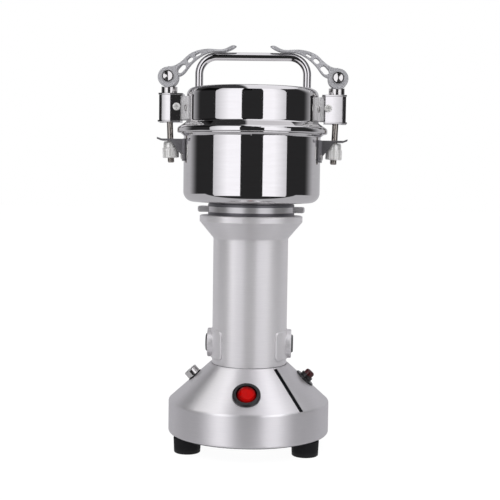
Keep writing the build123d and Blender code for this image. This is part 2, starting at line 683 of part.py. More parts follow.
# Cord entry and the wires in the base
def cord_gland():
    seat_y = sqrt(SHELL_BORE_R ** 2 - GLAND_FLANGE_R ** 2) - SLIP
    end_y = sqrt(BASE_R ** 2 - GLAND_R ** 2) - SLIP
    start_y = end_y - GLAND_LENGTH
    gland = bar_y(GLAND_R, start_y, end_y, 0, GLAND_Z)
    gland += bar_y(GLAND_FLANGE_R, seat_y - GLAND_FLANGE_THICK, seat_y, 0, GLAND_Z)
    return gland - bar_y(GLAND_BORE_R, start_y, end_y, 0, GLAND_Z)


def wire(points, bend_r):
    path = FilletPolyline(*points, radius=bend_r)
    start = Plane(origin=path @ 0, z_dir=path % 0)
    return sweep(start * Circle(WIRE_R), path=path)


def wiring_loom():
    gland_y = sqrt(BASE_R ** 2 - GLAND_R ** 2) - SLIP - GLAND_LENGTH - SLIP
    breaker_low = -BREAKER_BODY_DEPTH - SLIP
    fuse_low = -FUSE_BODY_DEPTH - SLIP
    terminal_low = -SWITCH_BODY_DEPTH - TERMINAL_LENGTH - SLIP
    lead = 5 * WIRE_R
    loom_z = PLATE_TOP_Z + 3 * WIRE_R
    bend_r = 3 * WIRE_R

    def below(seat, x, y, low):
        return [seat.from_local_coords((x, y, low)), seat.from_local_coords((x, y, low - lead))]

    routes = []
    for side, seat, low in ((1, BREAKER_SEAT, breaker_low), (-1, FUSE_SEAT, fuse_low)):
        tie_x = side * 1.5 * WIRE_R
        start = [(tie_x, gland_y, GLAND_Z), (tie_x, gland_y - lead, GLAND_Z)]
        inward = below(seat, 0, 2 * WIRE_R, low)
        floor = [(side * LOOM_REAR[0], LOOM_REAR[1], loom_z)]
        routes.append(start + floor + [inward[1], inward[0]])
        outward = below(seat, 0, -2 * WIRE_R, low)
        ends = below(SWITCH_SEAT, side * TERMINAL_SPACING, 0, terminal_low)
        floor = [(side * LOOM_FRONT[0], LOOM_FRONT[1], loom_z)]
        routes.append(outward + floor + [ends[1], ends[0]])
    return group([wire(points, bend_r) for points in routes])


# Motor column
def motor_column():
    lip_r = LOWER_BORE_R - LIP_WIDTH
    lip_z = BRACKET_TOP_Z + LIP_THICK
    outline = [
        (LOWER_BORE_R, COLUMN_Z), (COLUMN_R, COLUMN_Z), (COLUMN_R, FLARE_Z), (FLANGE_R, FLANGE_Z),
        (FLANGE_R, COLUMN_TOP_Z), (UPPER_BORE_R, COLUMN_TOP_Z), (UPPER_BORE_R, STATOR_Z),
        (LOWER_BORE_R, STATOR_Z), (LOWER_BORE_R, lip_z), (lip_r, lip_z), (lip_r, BRACKET_TOP_Z),
        (LOWER_BORE_R, BRACKET_TOP_Z),
    ]
    column = turned(outline, [0, COLUMN_FOOT_R, FLARE_BEND_R, SOFT_EDGE_R, FLANGE_EDGE_R] + [0] * 7)
    pad_low = BRUSH_Z - PAD_HEIGHT / 2
    pad = sector(
        COLUMN_R + PAD_RISE, COLUMN_R - COLUMN_WALL / 2, pad_low, pad_low + PAD_HEIGHT,
        -PAD_HALF_ANGLE, PAD_HALF_ANGLE,
    )
    corners = pad.edges().filter_by(GeomType.LINE).filter_by(Axis.Z, reverse=True)
    pad = fillet(corners, PAD_CORNER_R)
    pad = fillet(pad.faces().sort_by(Axis.X)[-1].edges(), PAD_EDGE_R)
    boss = bar_x(BOSS_R, BOSS_START, BOSS_END, BRUSH_Z)
    boss = fillet(boss.edges().group_by(Axis.X)[-1], SOFT_EDGE_R)
    bore = bar_x(HOLDER_R + SLIP, BOSS_START, BOSS_END, BRUSH_Z)
    bore += bar_x(CAP_R + SLIP, BOSS_END - CAP_DEPTH, BOSS_END, BRUSH_Z)
    column += [pad, mirrored(pad), boss, mirrored(boss)]
    column -= [bore, mirrored(bore)]
    thread_low = COLUMN_TOP_Z - BOWL_SCREW_THREAD
    thread = post(BOWL_SCREW_R + THREAD_GAP, thread_low, COLUMN_TOP_Z, BOWL_SCREW_CIRCLE_R)
    return column - around(thread, BOWL_SCREW_COUNT, BOWL_SCREW_ANGLE)


def column_screws():
    under = COLUMN_Z - SHELL_WALL
    one = Rot(180, 0, 0) * screw(FOOT_SCREW_R, -SHELL_WALL - BRACKET_THICK + SCREW_END_GAP, 0)
    return group(around(Pos(COLUMN_SCREW_CIRCLE_R, 0, under) * one, COLUMN_SCREW_COUNT, COLUMN_SCREW_ANGLE))


def lower_end_bracket():
    cup_z = LOWER_BEARING_Z - CUP_FLOOR
    rim_r = LOWER_BORE_R - SLIP
    outline = [
        (SHAFT_HOLE_R, cup_z), (CUP_R, cup_z), (CUP_R, COLUMN_Z), (rim_r, COLUMN_Z), (rim_r, BRACKET_TOP_Z),
        (BEARING_R, BRACKET_TOP_Z), (BEARING_R, LOWER_BEARING_Z), (SHAFT_HOLE_R, LOWER_BEARING_Z),
    ]
    thread = post(FOOT_SCREW_R + THREAD_GAP, COLUMN_Z, BRACKET_TOP_Z, COLUMN_SCREW_CIRCLE_R)
    return turned(outline) - around(thread, COLUMN_SCREW_COUNT, COLUMN_SCREW_ANGLE)


def upper_end_bracket():
    shoulder = UPPER_BEARING_Z + BEARING_WIDTH
    spigot_r = UPPER_BORE_R - SLIP
    outline = [
        (BEARING_R, UPPER_BEARING_Z), (spigot_r, UPPER_BEARING_Z), (spigot_r, COLUMN_TOP_Z),
        (NECK_R, COLUMN_TOP_Z), (NECK_R, DISC_Z), (SHAFT_HOLE_R, DISC_Z), (SHAFT_HOLE_R, shoulder),
        (BEARING_R, shoulder),
    ]
    hole = post(BOWL_SCREW_R + HOLE_GAP, COLUMN_TOP_Z, DISC_Z, BOWL_SCREW_CIRCLE_R)
    return turned(outline) - around(hole, BOWL_SCREW_COUNT, BOWL_SCREW_ANGLE)


def bearing(low):
    """A ball bearing as one turned ring, with its shields set back between the two races."""
    high = low + BEARING_WIDTH
    bore_r = SHAFT_R + RUN
    inner = bore_r + RACE_WALL
    outer = BEARING_R - RACE_WALL
    outline = [
        (bore_r, low), (inner, low), (inner, low + SHIELD_RECESS), (outer, low + SHIELD_RECESS), (outer, low),
        (BEARING_R, low), (BEARING_R, high), (outer, high), (outer, high - SHIELD_RECESS),
        (inner, high - SHIELD_RECESS), (inner, high), (bore_r, high),
    ]
    return turned(outline)


def lower_bearing():
    return bearing(LOWER_BEARING_Z)


def upper_bearing():
    return bearing(UPPER_BEARING_Z)


# Motor
def stator_core():
    core = ring(STATOR_R, STATOR_BORE_R, STATOR_Z, STACK_TOP_Z)
    window = sector(
        WINDOW_R, STATOR_BORE_R - OVER, STATOR_Z, STACK_TOP_Z, -WINDOW_HALF_ANGLE, WINDOW_HALF_ANGLE
    )
    return core - around(window, 2)


def field_coils():
    r_in = STATOR_BORE_R + SLIP
    r_out = r_in + COIL_THICK
    low = STATOR_Z - COIL_OVERHANG
    high = STACK_TOP_Z + COIL_OVERHANG
    side_end = WINDOW_HALF_ANGLE - COIL_END_ANGLE
    far_end = 180 - COIL_END_ANGLE
    coil = sector(r_out, r_in, low, STATOR_Z - SLIP, COIL_END_ANGLE, far_end)
    coil += sector(r_out, r_in, STACK_TOP_Z + SLIP, high, COIL_END_ANGLE, far_end)
    coil += sector(r_out, r_in, low, high, COIL_END_ANGLE, side_end)
    coil += sector(r_out, r_in, low, high, 180 - side_end, far_end)
    return group(around(coil, 2))


def armature_core():
    core = ring(ARMATURE_R, SHAFT_R, STATOR_Z, STACK_TOP_Z)
    half = SLOT_WIDTH / 2
    slot = block(ARMATURE_R - SLOT_DEPTH, ARMATURE_R + OVER, -half, half, STATOR_Z, STACK_TOP_Z)
    return core - around(slot, SLOT_COUNT)


def armature_windings():
    low = STATOR_Z - WINDING_OVERHANG
    high = STACK_TOP_Z + WINDING_OVERHANG
    bore_r = SHAFT_R + WINDING_SLEEVE
    lower = turned(
        [(bore_r, low), (WINDING_R, low), (WINDING_R, STATOR_Z), (bore_r, STATOR_Z)],
        [0, WINDING_EDGE_R, 0, 0],
    )
    upper = turned(
        [(bore_r, STACK_TOP_Z), (WINDING_R, STACK_TOP_Z), (WINDING_R, high), (bore_r, high)],
        [0, 0, WINDING_EDGE_R, 0],
    )
    inner_r = ARMATURE_R - SLOT_DEPTH + SLIP
    half = SLOT_WIDTH / 2 - SLIP
    bar = block(inner_r, WINDING_R - WINDING_INSET, -half, half, STATOR_Z - OVER, STACK_TOP_Z + OVER)
    return lower + upper + around(bar, SLOT_COUNT)


def commutator():
    low = BRUSH_Z - COMMUTATOR_LENGTH / 2
    high = BRUSH_Z + COMMUTATOR_LENGTH / 2
    drum = ring(COMMUTATOR_R, SHAFT_R, low, high)
    half = COMMUTATOR_GROOVE / 2
    groove = block(COMMUTATOR_R - COMMUTATOR_GROOVE_DEPTH, COMMUTATOR_R + OVER, -half, half, low, high)
    return drum - around(groove, 2 * SLOT_COUNT)


def motor_shaft():
    shaft = post(SHAFT_R, LOWER_BEARING_Z + SLIP, BLADE_NUT_Z + BLADE_NUT_HEIGHT - BLADE_NUT_ROOF)
    return shaft + post(COLLAR_R, BLADE_Z - COLLAR_HEIGHT, BLADE_Z)


def cooling_fan():
    hub = ring(FAN_HUB_R, SHAFT_R, FAN_Z, FAN_Z + FAN_HEIGHT)
    plate = ring(FAN_R, SHAFT_R, FAN_Z, FAN_Z + FAN_PLATE)
    half = FAN_BLADE_THICK / 2
    blade = block(FAN_HUB_R - OVER, FAN_R - FAN_BLADE_INSET, -half, half, FAN_Z, FAN_Z + FAN_HEIGHT)
    return hub + plate + around(blade, FAN_BLADES)


# Brushes
def brush_holders():
    start = COMMUTATOR_R + HOLDER_GAP
    tube = bar_x(HOLDER_R, start, BOSS_END - CAP_DEPTH - SLIP, BRUSH_Z)
    half_width = BRUSH_WIDTH / 2 + SLIP
    half_height = BRUSH_HEIGHT / 2 + SLIP
    low = BRUSH_Z - half_height
    high = BRUSH_Z + half_height
    tube -= block(start - OVER, BOSS_END, -half_width, half_width, low, high)
    return both_sides(tube)


def carbon_brushes():
    start = COMMUTATOR_R - OVER
    end = COMMUTATOR_R + TOUCH_GAP + BRUSH_LENGTH
    half_width = BRUSH_WIDTH / 2
    half_height = BRUSH_HEIGHT / 2
    brush = block(start, end, -half_width, half_width, BRUSH_Z - half_height, BRUSH_Z + half_height)
    brush -= post(COMMUTATOR_R + TOUCH_GAP, BRUSH_Z - BRUSH_HEIGHT, BRUSH_Z + BRUSH_HEIGHT)
    return both_sides(brush)


def brush_springs():
    start = COMMUTATOR_R + TOUCH_GAP + BRUSH_LENGTH + SPRING_WIRE_R + SLIP
    end = BOSS_END - CAP_DEPTH - SPRING_WIRE_R - SLIP
    path = Helix(pitch=(end - start) / SPRING_TURNS, height=end - start, radius=SPRING_R)
    section = Plane(origin=path @ 0, z_dir=path % 0) * Circle(SPRING_WIRE_R)
    coil = sweep(section, path=path)
    spring = Pos(start, 0, BRUSH_Z) * (Rot(0, 90, 0) * coil)
    return both_sides(spring)


def brush_caps():
    cap = bar_x(CAP_R, BOSS_END - CAP_DEPTH, BOSS_END + CAP_DOME, BRUSH_Z)
    cap = fillet(cap.edges().group_by(Axis.X)[-1], CAP_EDGE_R)
    end = BOSS_END + CAP_DOME
    half = CAP_SLOT / 2
    cap -= block(end - CAP_SLOT_DEPTH, end + OVER, -half, half, BRUSH_Z - CAP_R, BRUSH_Z + CAP_R)
    return both_sides(cap)


# Neck and bowl
def mount_disc():
    """A round plate as wide as the neck, with a lug on each side."""
    outline = [(NECK_BORE_R, DISC_Z), (DISC_R, DISC_Z), (DISC_R, RING_Z), (NECK_BORE_R, RING_Z)]
    hole = post(BOWL_SCREW_R + HOLE_GAP, DISC_Z, RING_Z, BOWL_SCREW_CIRCLE_R)
    disc = turned(outline, [0, DISC_EDGE_R, DISC_EDGE_R, 0])
    lugs = block(-DISC_R, DISC_R, -LUG_HALF_WIDTH, LUG_HALF_WIDTH, DISC_Z, RING_Z)
    disc &= post(NECK_R, DISC_Z, RING_Z) + lugs
    return disc - around(hole, BOWL_SCREW_COUNT, BOWL_SCREW_ANGLE)


def neck_ring():
    hole = post(BOWL_SCREW_R + HOLE_GAP, RING_Z, BOWL_Z, BOWL_SCREW_CIRCLE_R)
    step_r = NECK_R - NECK_STEP
    step_z = BOWL_Z - NECK_STEP_HEIGHT
    neck = turned(
        [(NECK_BORE_R, RING_Z), (NECK_R, RING_Z), (NECK_R, step_z), (step_r, step_z), (step_r, BOWL_Z),
         (NECK_BORE_R, BOWL_Z)],
        [0, 0, SOFT_EDGE_R, 0, 0, 0],
    )
    return neck - around(hole, BOWL_SCREW_COUNT, BOWL_SCREW_ANGLE)


def bowl():
    bore_r = BOWL_R - BOWL_WALL
    outline = [
        (SEAL_R, BOWL_Z), (BOWL_R, BOWL_Z), (BOWL_R, RIM_Z - RIM_HEIGHT), (RIM_R, RIM_Z - BOWL_WALL),
        (RIM_R, RIM_Z), (bore_r, RIM_Z), (bore_r, FLOOR_Z), (SEAL_R, FLOOR_Z),
    ]
    radii = [0, BOWL_CORNER_R, RIM_BEND_R, RIM_EDGE_R, RIM_EDGE_R, RIM_INNER_R, BOWL_CORNER_R - BOWL_WALL, 0]
    shell = turned(outline, radii)
    hole = post(BOWL_SCREW_R + HOLE_GAP, BOWL_Z, FLOOR_Z, BOWL_SCREW_CIRCLE_R)
    shell -= around(hole, BOWL_SCREW_COUNT, BOWL_SCREW_ANGLE)
    return shell - hook_rivets(HOLE_GAP)


def bowl_screws():
    one = screw(BOWL_SCREW_R, COLUMN_TOP_Z - BOWL_SCREW_THREAD + SCREW_END_GAP, FLOOR_Z)
    return group(around(Pos(BOWL_SCREW_CIRCLE_R, 0, 0) * one, BOWL_SCREW_COUNT, BOWL_SCREW_ANGLE))


def shaft_seal():
    low = FLOOR_Z - SEAL_DEPTH
    high = FLOOR_Z + SEAL_FLANGE_THICK
    bore_r = SHAFT_R + RUN
    outline = [
        (bore_r, low), (SEAL_R - SLIP, low), (SEAL_R - SLIP, FLOOR_Z), (SEAL_FLANGE_R, FLOOR_Z),
        (SEAL_FLANGE_R, high), (bore_r, high),
    ]
    return turned(outline, [0, 0, 0, 0, SOFT_EDGE_R, 0])


def blade(low, rise):
    """A bent bar with ground leading edges, one on each wing, on the shaft."""
    outline = [
        (-BLADE_REACH, low + rise), (-BLADE_FLAT, low), (BLADE_FLAT, low), (BLADE_REACH, low + rise),
        (BLADE_REACH, low + rise + BLADE_THICK), (BLADE_FLAT, low + BLADE_THICK),
        (-BLADE_FLAT, low + BLADE_THICK), (-BLADE_REACH, low + rise + BLADE_THICK),
    ]
    half = BLADE_WIDTH / 2
    tip = BLADE_TIP_WIDTH / 2
    bar = side_plate(outline, -half, half)
    plan = Polyline(
        (-BLADE_REACH, -tip), (-BLADE_FLAT, -half), (BLADE_FLAT, -half), (BLADE_REACH, -half + BLADE_EDGE),
        (BLADE_REACH, tip), (BLADE_FLAT, half), (-BLADE_FLAT, half), (-BLADE_REACH, half - BLADE_EDGE),
        close=True,
    )
    height = rise + BLADE_THICK
    bar &= Pos(0, 0, low) * extrude(make_face(plan), height)
    return bar - post(SHAFT_R, low, low + height)


def lower_blade():
    return blade(BLADE_Z, LOWER_BLADE_RISE)


def blade_spacer():
    return ring(COLLAR_R, SHAFT_R, SPACER_Z, UPPER_BLADE_Z)


def upper_blade():
    return Rot(0, 0, 90) * blade(UPPER_BLADE_Z, UPPER_BLADE_RISE)


def blade_nut():
    low = BLADE_NUT_Z
    high = low + BLADE_NUT_HEIGHT
    nut = hex_post(BLADE_NUT_R, low, low + BLADE_NUT_HEX)
    outline = [(0, low), (BLADE_NUT_DOME_R, low), (BLADE_NUT_DOME_R, high), (0, high)]
    dome = turned(outline, [0, 0, BLADE_NUT_DOME_EDGE, 0])
    return nut + dome - post(SHAFT_R, low, high - BLADE_NUT_ROOF)


# Lid, its seal and handle
def lid():
    hem_r = LID_FLANGE_R - LID_HEM
    bore_r = LID_R - LID_WALL
    outline = [
        (0, LID_TOP_Z), (LID_R, LID_TOP_Z), (LID_R, LID_WALL_Z), (LID_FLANGE_R, LID_FLARE_Z),
        (LID_FLANGE_R, LID_Z), (hem_r, LID_Z), (hem_r, LID_FLARE_Z - LID_WALL / 2),
        (bore_r, LID_WALL_Z - LID_WALL / 2),
        (bore_r, LID_TOP_Z - LID_WALL), (0, LID_TOP_Z - LID_WALL),
    ]
    radii = [
        0, LID_EDGE_R, LID_BEND_R, LID_BEND_R, HEM_EDGE_R, SOFT_EDGE_R, SOFT_EDGE_R,
        LID_INNER_BEND_R, LID_EDGE_R - LID_WALL, 0,
    ]
    return turned(outline, radii) - lid_rivets(HOLE_GAP)


def lid_seal():
    r_out = LID_FLANGE_R - LID_HEM - SLIP
    r_in = r_out - SEAL_RING_WIDTH
    outer_top = RIM_Z + SEAL_RING_EDGE_HEIGHT
    inner_top = RIM_Z + SEAL_RING_HEIGHT
    outline = [(r_in, RIM_Z), (r_out, RIM_Z), (r_out, outer_top), (r_in, inner_top)]
    return turned(outline, [SEAL_RING_EDGE_R, 0, SEAL_RING_EDGE_R, SEAL_RING_EDGE_R])


def lid_handle():
    path = FilletPolyline(
        (-HANDLE_LEG_X, 0, LID_TOP_Z), (-HANDLE_LEG_X, 0, HANDLE_Z), (HANDLE_LEG_X, 0, HANDLE_Z),
        (HANDLE_LEG_X, 0, LID_TOP_Z), radius=HANDLE_BEND_R
    )
    section = Plane(origin=path @ 0, z_dir=path % 0) * Circle(HANDLE_R)
    return sweep(section, path=path)


# Rivets through the brackets on lid and bowl, on the left side
def rivet(azimuth, wall_r, wall, z, gap):
    """A rivet through a strip and the wall behind it; with a gap, the hole for its shank."""
    angle = radians(azimuth)
    face_r = wall_r + STRIP_SHEET
    seat = Plane(origin=(face_r * cos(angle), face_r * sin(angle), z), z_dir=(cos(angle), sin(angle), 0))
    depth = STRIP_SHEET + wall + SLIP
    if gap:
        return seat * post(RIVET_R + gap, -depth, RIVET_HEAD_HEIGHT)
    head = turned(
        [(0, 0), (RIVET_HEAD_R, 0), (RIVET_HEAD_R, RIVET_HEAD_HEIGHT), (0, RIVET_HEAD_HEIGHT)],
        [0, 0, RIVET_EDGE_R, 0],
    )
    tail = post(RIVET_TAIL_R, -depth - RIVET_TAIL_HEIGHT, -depth)
    return seat * (head + post(RIVET_R, -depth, 0) + tail)


def hook_rivets(gap=0.0):
    left = [rivet(180 + side * HOOK_RIVET_ANGLE, BOWL_R, BOWL_WALL, HOOK_RIVET_Z, gap) for side in (-1, 1)]
    return left + [mirrored(one) for one in left]


def lid_rivets(gap=0.0):
    left = [rivet(180 + side * LID_RIVET_ANGLE, LID_R, LID_WALL, LID_RIVET_Z, gap) for side in (-1, 1)]
    return left + [mirrored(one) for one in left]


def bracket_rivets():
    return group(hook_rivets() + lid_rivets())


# Clamp pieces, made on the left; the ones that move are mirrored one by one
def rod_at(z):
    """Where the middle of the left rod is at this height."""
    return -CLAMP_X + (PIN_Z - z) * tan(radians(ROD_LEAN))


def leaned(shape):
    """A piece of the left rod, turned about the pivot pin from upright to its lean."""
    return shape.rotate(Axis((-CLAMP_X, 0, PIN_Z), (0, 1, 0)), -ROD_LEAN)


def bowl_hooks():
    rod_x = rod_at(HOOK_Z)
    half = HOOK_HALF_WIDTH
    strip = sector(
        BOWL_R + STRIP_SHEET, BOWL_R, HOOK_Z - HOOK_STRIP_HEIGHT, HOOK_Z,
        180 - HOOK_STRIP_ANGLE, 180 + HOOK_STRIP_ANGLE,
    )
    under = HOOK_Z - HOOK_SHEET
    flat_x = rod_x - HOOK_FLAT
    tip_x = rod_x - HOOK_REACH
    root_x = -BOWL_R
    shelf = side_plate(
        [(root_x, under), (flat_x, under), (tip_x, under + HOOK_UPTURN), (tip_x, HOOK_Z + HOOK_UPTURN),
         (flat_x, HOOK_Z), (root_x, HOOK_Z)],
        -half, half,
    )
    gusset_x = root_x - GUSSET_REACH
    gusset = side_plate(
        [(root_x, under), (gusset_x, under), (root_x, under - GUSSET_HEIGHT)], -half, -half + HOOK_SHEET
    )
    shelf += [gusset, mirror(gusset, about=Plane.XZ)]
    shelf -= post(BOWL_R, HOOK_Z - HOOK_STRIP_HEIGHT, HOOK_Z)
    slot_top = HOOK_Z + HOOK_UPTURN + OVER
    shelf -= post(SLOT_HALF, under - OVER, slot_top, rod_x)
    shelf -= block(tip_x - OVER, rod_x, -SLOT_HALF, SLOT_HALF, under - OVER, slot_top)
    return both_sides(strip + shelf - hook_rivets(HOLE_GAP))


def lid_brackets():
    low = BOX_Z + BOX_SHEET + EAR_INSET
    high = BOX_TOP_Z - BOX_SHEET - EAR_INSET
    strip = sector(
        LID_R + STRIP_SHEET, LID_R, LID_STRIP_Z, LID_STRIP_Z + LID_STRIP_HEIGHT,
        180 - LID_STRIP_ANGLE, 180 + LID_STRIP_ANGLE,
    )
    outer_y = BOX_HALF_WIDTH - BOX_SHEET - EAR_GAP
    end_x = -CLAMP_X + EAR_REACH
    root_x = -sqrt((LID_R + STRIP_SHEET / 2) ** 2 - (outer_y - EAR_SHEET / 2) ** 2)
    ear = block(end_x, root_x, -outer_y, -outer_y + EAR_SHEET, low, high)
    screw_x = -CLAMP_X + CROSS_SCREW_IN
    hole = bar_y(CROSS_SCREW_R + HOLE_GAP, -outer_y - OVER, outer_y + OVER, screw_x, CROSS_SCREW_Z)
    bracket = strip + [ear, mirror(ear, about=Plane.XZ)] - hole
    return both_sides(bracket - lid_rivets(HOLE_GAP))


def clamp_boxes():
    rod_x = -CLAMP_X
    outer_x = rod_x - BOX_OUT
    inner_x = rod_x + BOX_IN
    half = BOX_HALF_WIDTH
    wall = block(outer_x, inner_x, -half, -half + BOX_SHEET, BOX_Z, BOX_TOP_Z)
    lip = half + BOX_FRONT_LIP
    top = block(outer_x - BOX_LIP / 2, rod_x + BOX_TOP_IN, -lip, lip, BOX_TOP_Z - BOX_SHEET, BOX_TOP_Z)
    top = fillet(top.edges().filter_by(Axis.X), BOX_LIP_EDGE_R)
    bottom = block(outer_x - BOX_LIP, inner_x, -lip, lip, BOX_Z, BOX_Z + BOX_SHEET)
    bottom = fillet(bottom.edges().filter_by(Axis.X), BOX_LIP_EDGE_R)
    box = top + [bottom, wall, mirror(wall, about=Plane.XZ)]
    low = BOX_Z - OVER
    high = BOX_TOP_Z + OVER
    slot_x = rod_at(BOX_Z)
    box -= post(SLOT_HALF, low, high, slot_x)
    box -= block(outer_x - 2 * BOX_LIP, slot_x, -SLOT_HALF, SLOT_HALF, low, high)
    screw_x = rod_x + CROSS_SCREW_IN
    hole = bar_y(CROSS_SCREW_R + HOLE_GAP, -half - OVER, half + OVER, screw_x, CROSS_SCREW_Z)
    return both_sides(box - hole)


def box_screws():
    half = BOX_HALF_WIDTH
    nut_low = -2 * half - NUT_HEIGHT
    bolt = screw(CROSS_SCREW_R, nut_low - SCREW_TAIL, 0, LOW_HEAD_HEIGHT, CROSS_HEAD_R)
    nut = hex_post(CROSS_SCREW_R * SCREW_HEAD_RATIO, nut_low, -2 * half)
    nut -= post(CROSS_SCREW_R + THREAD_GAP, nut_low, -2 * half)
    screw_x = -CLAMP_X + CROSS_SCREW_IN
    seat = Plane(origin=(screw_x, -half, CROSS_SCREW_Z), x_dir=(1, 0, 0), z_dir=(0, -1, 0))
    return both_sides(group([seat * bolt, seat * nut]))


def clamp_saddles():
    rod_x = rod_at(BOX_TOP_Z)
    top = SADDLE_BED_Z + SADDLE_TOP_RISE
    saddle = post(SADDLE_R, BOX_TOP_Z, top, rod_x)
    saddle -= bar_y(GROOVE_R, -SADDLE_R, SADDLE_R, -CLAMP_X, SADDLE_BED_Z + GROOVE_R)
    saddle -= post(SLOT_HALF, BOX_TOP_Z, top, rod_x)
    saddle -= block(rod_x - SADDLE_R, rod_x, -SLOT_HALF, SLOT_HALF, BOX_TOP_Z, top)
    return both_sides(saddle)


def cam_lever():
    outline = Spline(*LEVER_TOP, *LEVER_TIP) + Spline(LEVER_TIP[-1], *LEVER_UNDER, *LEVER_HEEL)
    outline += Polyline(LEVER_HEEL[-1], (0, -CAM_OFFSET), LEVER_TOP[0])
    arm = extrude(make_face(Plane.XZ * outline), CAM_HALF_WIDTH, both=True)
    tip_x = LEVER_TIP[-1][0]
    waist_x = LEVER_HOLES[0][0]
    half = CAM_HALF_WIDTH
    arm_half = LEVER_ARM_WIDTH / 2
    tip_half = LEVER_TIP_WIDTH / 2
    radii = [0, LEVER_BEND_R, LEVER_BEND_R, LEVER_FLARE_R, LEVER_TIP_BEND_R, LEVER_TIP_R]
    plan = FilletPolyline(
        (-CAM_R, -half), (CAM_R, -half), (2 * waist_x, -arm_half), (LEVER_NARROW, -arm_half),
        (LEVER_WIDEN, -tip_half), (tip_x, -tip_half), (tip_x, tip_half), (LEVER_WIDEN, tip_half),
        (LEVER_NARROW, arm_half), (2 * waist_x, arm_half), (CAM_R, half), (-CAM_R, half),
        radius=radii + radii[::-1], close=True,
    )
    reach = LEVER_TIP[1][1] + OVER
    arm &= extrude(make_face(plan), reach, both=True)
    lever = bar_y(CAM_R, -half, half, 0, -CAM_OFFSET) + arm
    for x, z, length, width, lean in LEVER_HOLES:
        hole = extrude(SlotOverall(length, width), 2 * half, both=True)
        lever -= Pos(x, 0, z) * (Rot(0, -lean, 0) * (Rot(90, 0, 0) * hole))
    lever -= bar_y(PIN_R + RUN, -half, half, 0, 0)
    lever -= bar_y(LEVER_SLOT_R, -LEVER_SLOT, LEVER_SLOT, 0, 0)
    lever -= block(-2 * CAM_R, LEVER_SLOT + RUN, -LEVER_SLOT, LEVER_SLOT, -2 * CAM_R, 2 * CAM_R)
    return Pos(-CLAMP_X, 0, PIN_Z) * lever


def pivot_pin():
    inner = CAM_HALF_WIDTH + CHEEK_GAP
    outer = inner + PIN_HEAD_THICK
    pin = bar_y(PIN_R, -inner, inner, -CLAMP_X, PIN_Z)
    for side in (-1, 1):
        pin += bar_y(PIN_HEAD_R, side * inner, side * outer, -CLAMP_X, PIN_Z)
        dish = Cone(0, PIN_HEAD_R - PIN_HEAD_THICK, PIN_DISH, rotation=(90 * side, 0, 0))
        pin -= Pos(-CLAMP_X, side * (outer - PIN_DISH / 2), PIN_Z) * (Rot(180, 0, 0) * dish)
    return pin


def draw_rod():
    rod = post(ROD_R, NUT_Z - ROD_TAIL, PIN_Z, -CLAMP_X)
    rod = chamfer(rod.edges().group_by(Axis.Z)[0], ROD_CHAMFER)
    rod += bar_y(EYE_R, -EYE_HALF_WIDTH, EYE_HALF_WIDTH, -CLAMP_X, PIN_Z)
    return leaned(rod - bar_y(PIN_R + RUN, -EYE_HALF_WIDTH, EYE_HALF_WIDTH, -CLAMP_X, PIN_Z))


def knurled_nut():
    collar_top = NUT_TOP_Z - NUT_NOSE_HEIGHT
    knurl_top = collar_top - NUT_COLLAR_HEIGHT
    nut = turned(
        [(0, NUT_Z), (NUT_KNURL_R, NUT_Z), (NUT_KNURL_R, knurl_top), (NUT_COLLAR_R, knurl_top),
         (NUT_COLLAR_R, collar_top), (NUT_NOSE_R, NUT_TOP_Z), (0, NUT_TOP_Z)],
        [0, NUT_CHAMFER, NUT_EDGE_R, 0, NUT_EDGE_R, NUT_EDGE_R, 0],
    )
    groove = Rot(0, 0, 45) * Box(KNURL_DEPTH, KNURL_DEPTH, 4 * NUT_KNURL_HEIGHT)
    groove = Pos(NUT_KNURL_R, 0, NUT_Z) * groove
    groove &= post(2 * NUT_KNURL_R, NUT_Z, knurl_top)
    nut -= around(groove, KNURL_COUNT)
    nut -= post(ROD_R + RUN, NUT_Z, NUT_TOP_Z)
    return leaned(Pos(-CLAMP_X, 0, 0) * nut)


PIECES = [
    base_shell, base_plate, base_plate_screws, rubber_feet, foot_screws,
    switch_housing, switch_rocker, switch_terminals, breaker_housing, reset_button,
    fuse_holder, fuse_cap, glass_fuse, cord_gland, wiring_loom,
    motor_column, column_screws, lower_end_bracket, upper_end_bracket, lower_bearing, upper_bearing,
    stator_core, field_coils, armature_core, armature_windings, commutator, motor_shaft, cooling_fan,
    brush_holders, carbon_brushes, brush_springs, brush_caps,
    mount_disc, neck_ring, bowl, bowl_screws, shaft_seal, lower_blade, blade_spacer, upper_blade, blade_nut,
    lid, lid_seal, lid_handle, bracket_rivets, bowl_hooks, lid_brackets,
    clamp_boxes, box_screws, clamp_saddles,
]
CLAMP_PIECES = [cam_lever, pivot_pin, draw_rod, knurled_nut]

os.makedirs("parts", exist_ok=True)
for piece in PIECES:
    export_step(piece(), f"parts/{piece.__name__}.step")
for piece in CLAMP_PIECES:
    left = piece()
    export_step(left, f"parts/left_{piece.__name__}.step")
    export_step(mirrored(left), f"parts/right_{piece.__name__}.step")
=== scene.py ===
import math

import bmesh
import bpy
from mathutils import Matrix, Vector


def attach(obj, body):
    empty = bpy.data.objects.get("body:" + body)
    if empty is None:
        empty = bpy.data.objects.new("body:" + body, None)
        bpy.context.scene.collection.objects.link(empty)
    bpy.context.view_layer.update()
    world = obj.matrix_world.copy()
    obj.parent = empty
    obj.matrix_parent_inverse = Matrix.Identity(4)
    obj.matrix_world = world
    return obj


# Dry grinder: silver motor column on a cone base, mirror-bright bowl and lid held by two cam clamps. The
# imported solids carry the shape; this file gives them their finish and adds the small made details.
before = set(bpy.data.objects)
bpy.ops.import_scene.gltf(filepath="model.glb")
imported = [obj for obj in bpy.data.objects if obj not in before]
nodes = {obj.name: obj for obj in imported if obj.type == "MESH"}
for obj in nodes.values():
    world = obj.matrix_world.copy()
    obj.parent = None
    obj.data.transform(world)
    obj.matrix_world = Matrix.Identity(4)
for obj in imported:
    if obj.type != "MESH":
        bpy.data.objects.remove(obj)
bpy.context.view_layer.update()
MM = 0.001


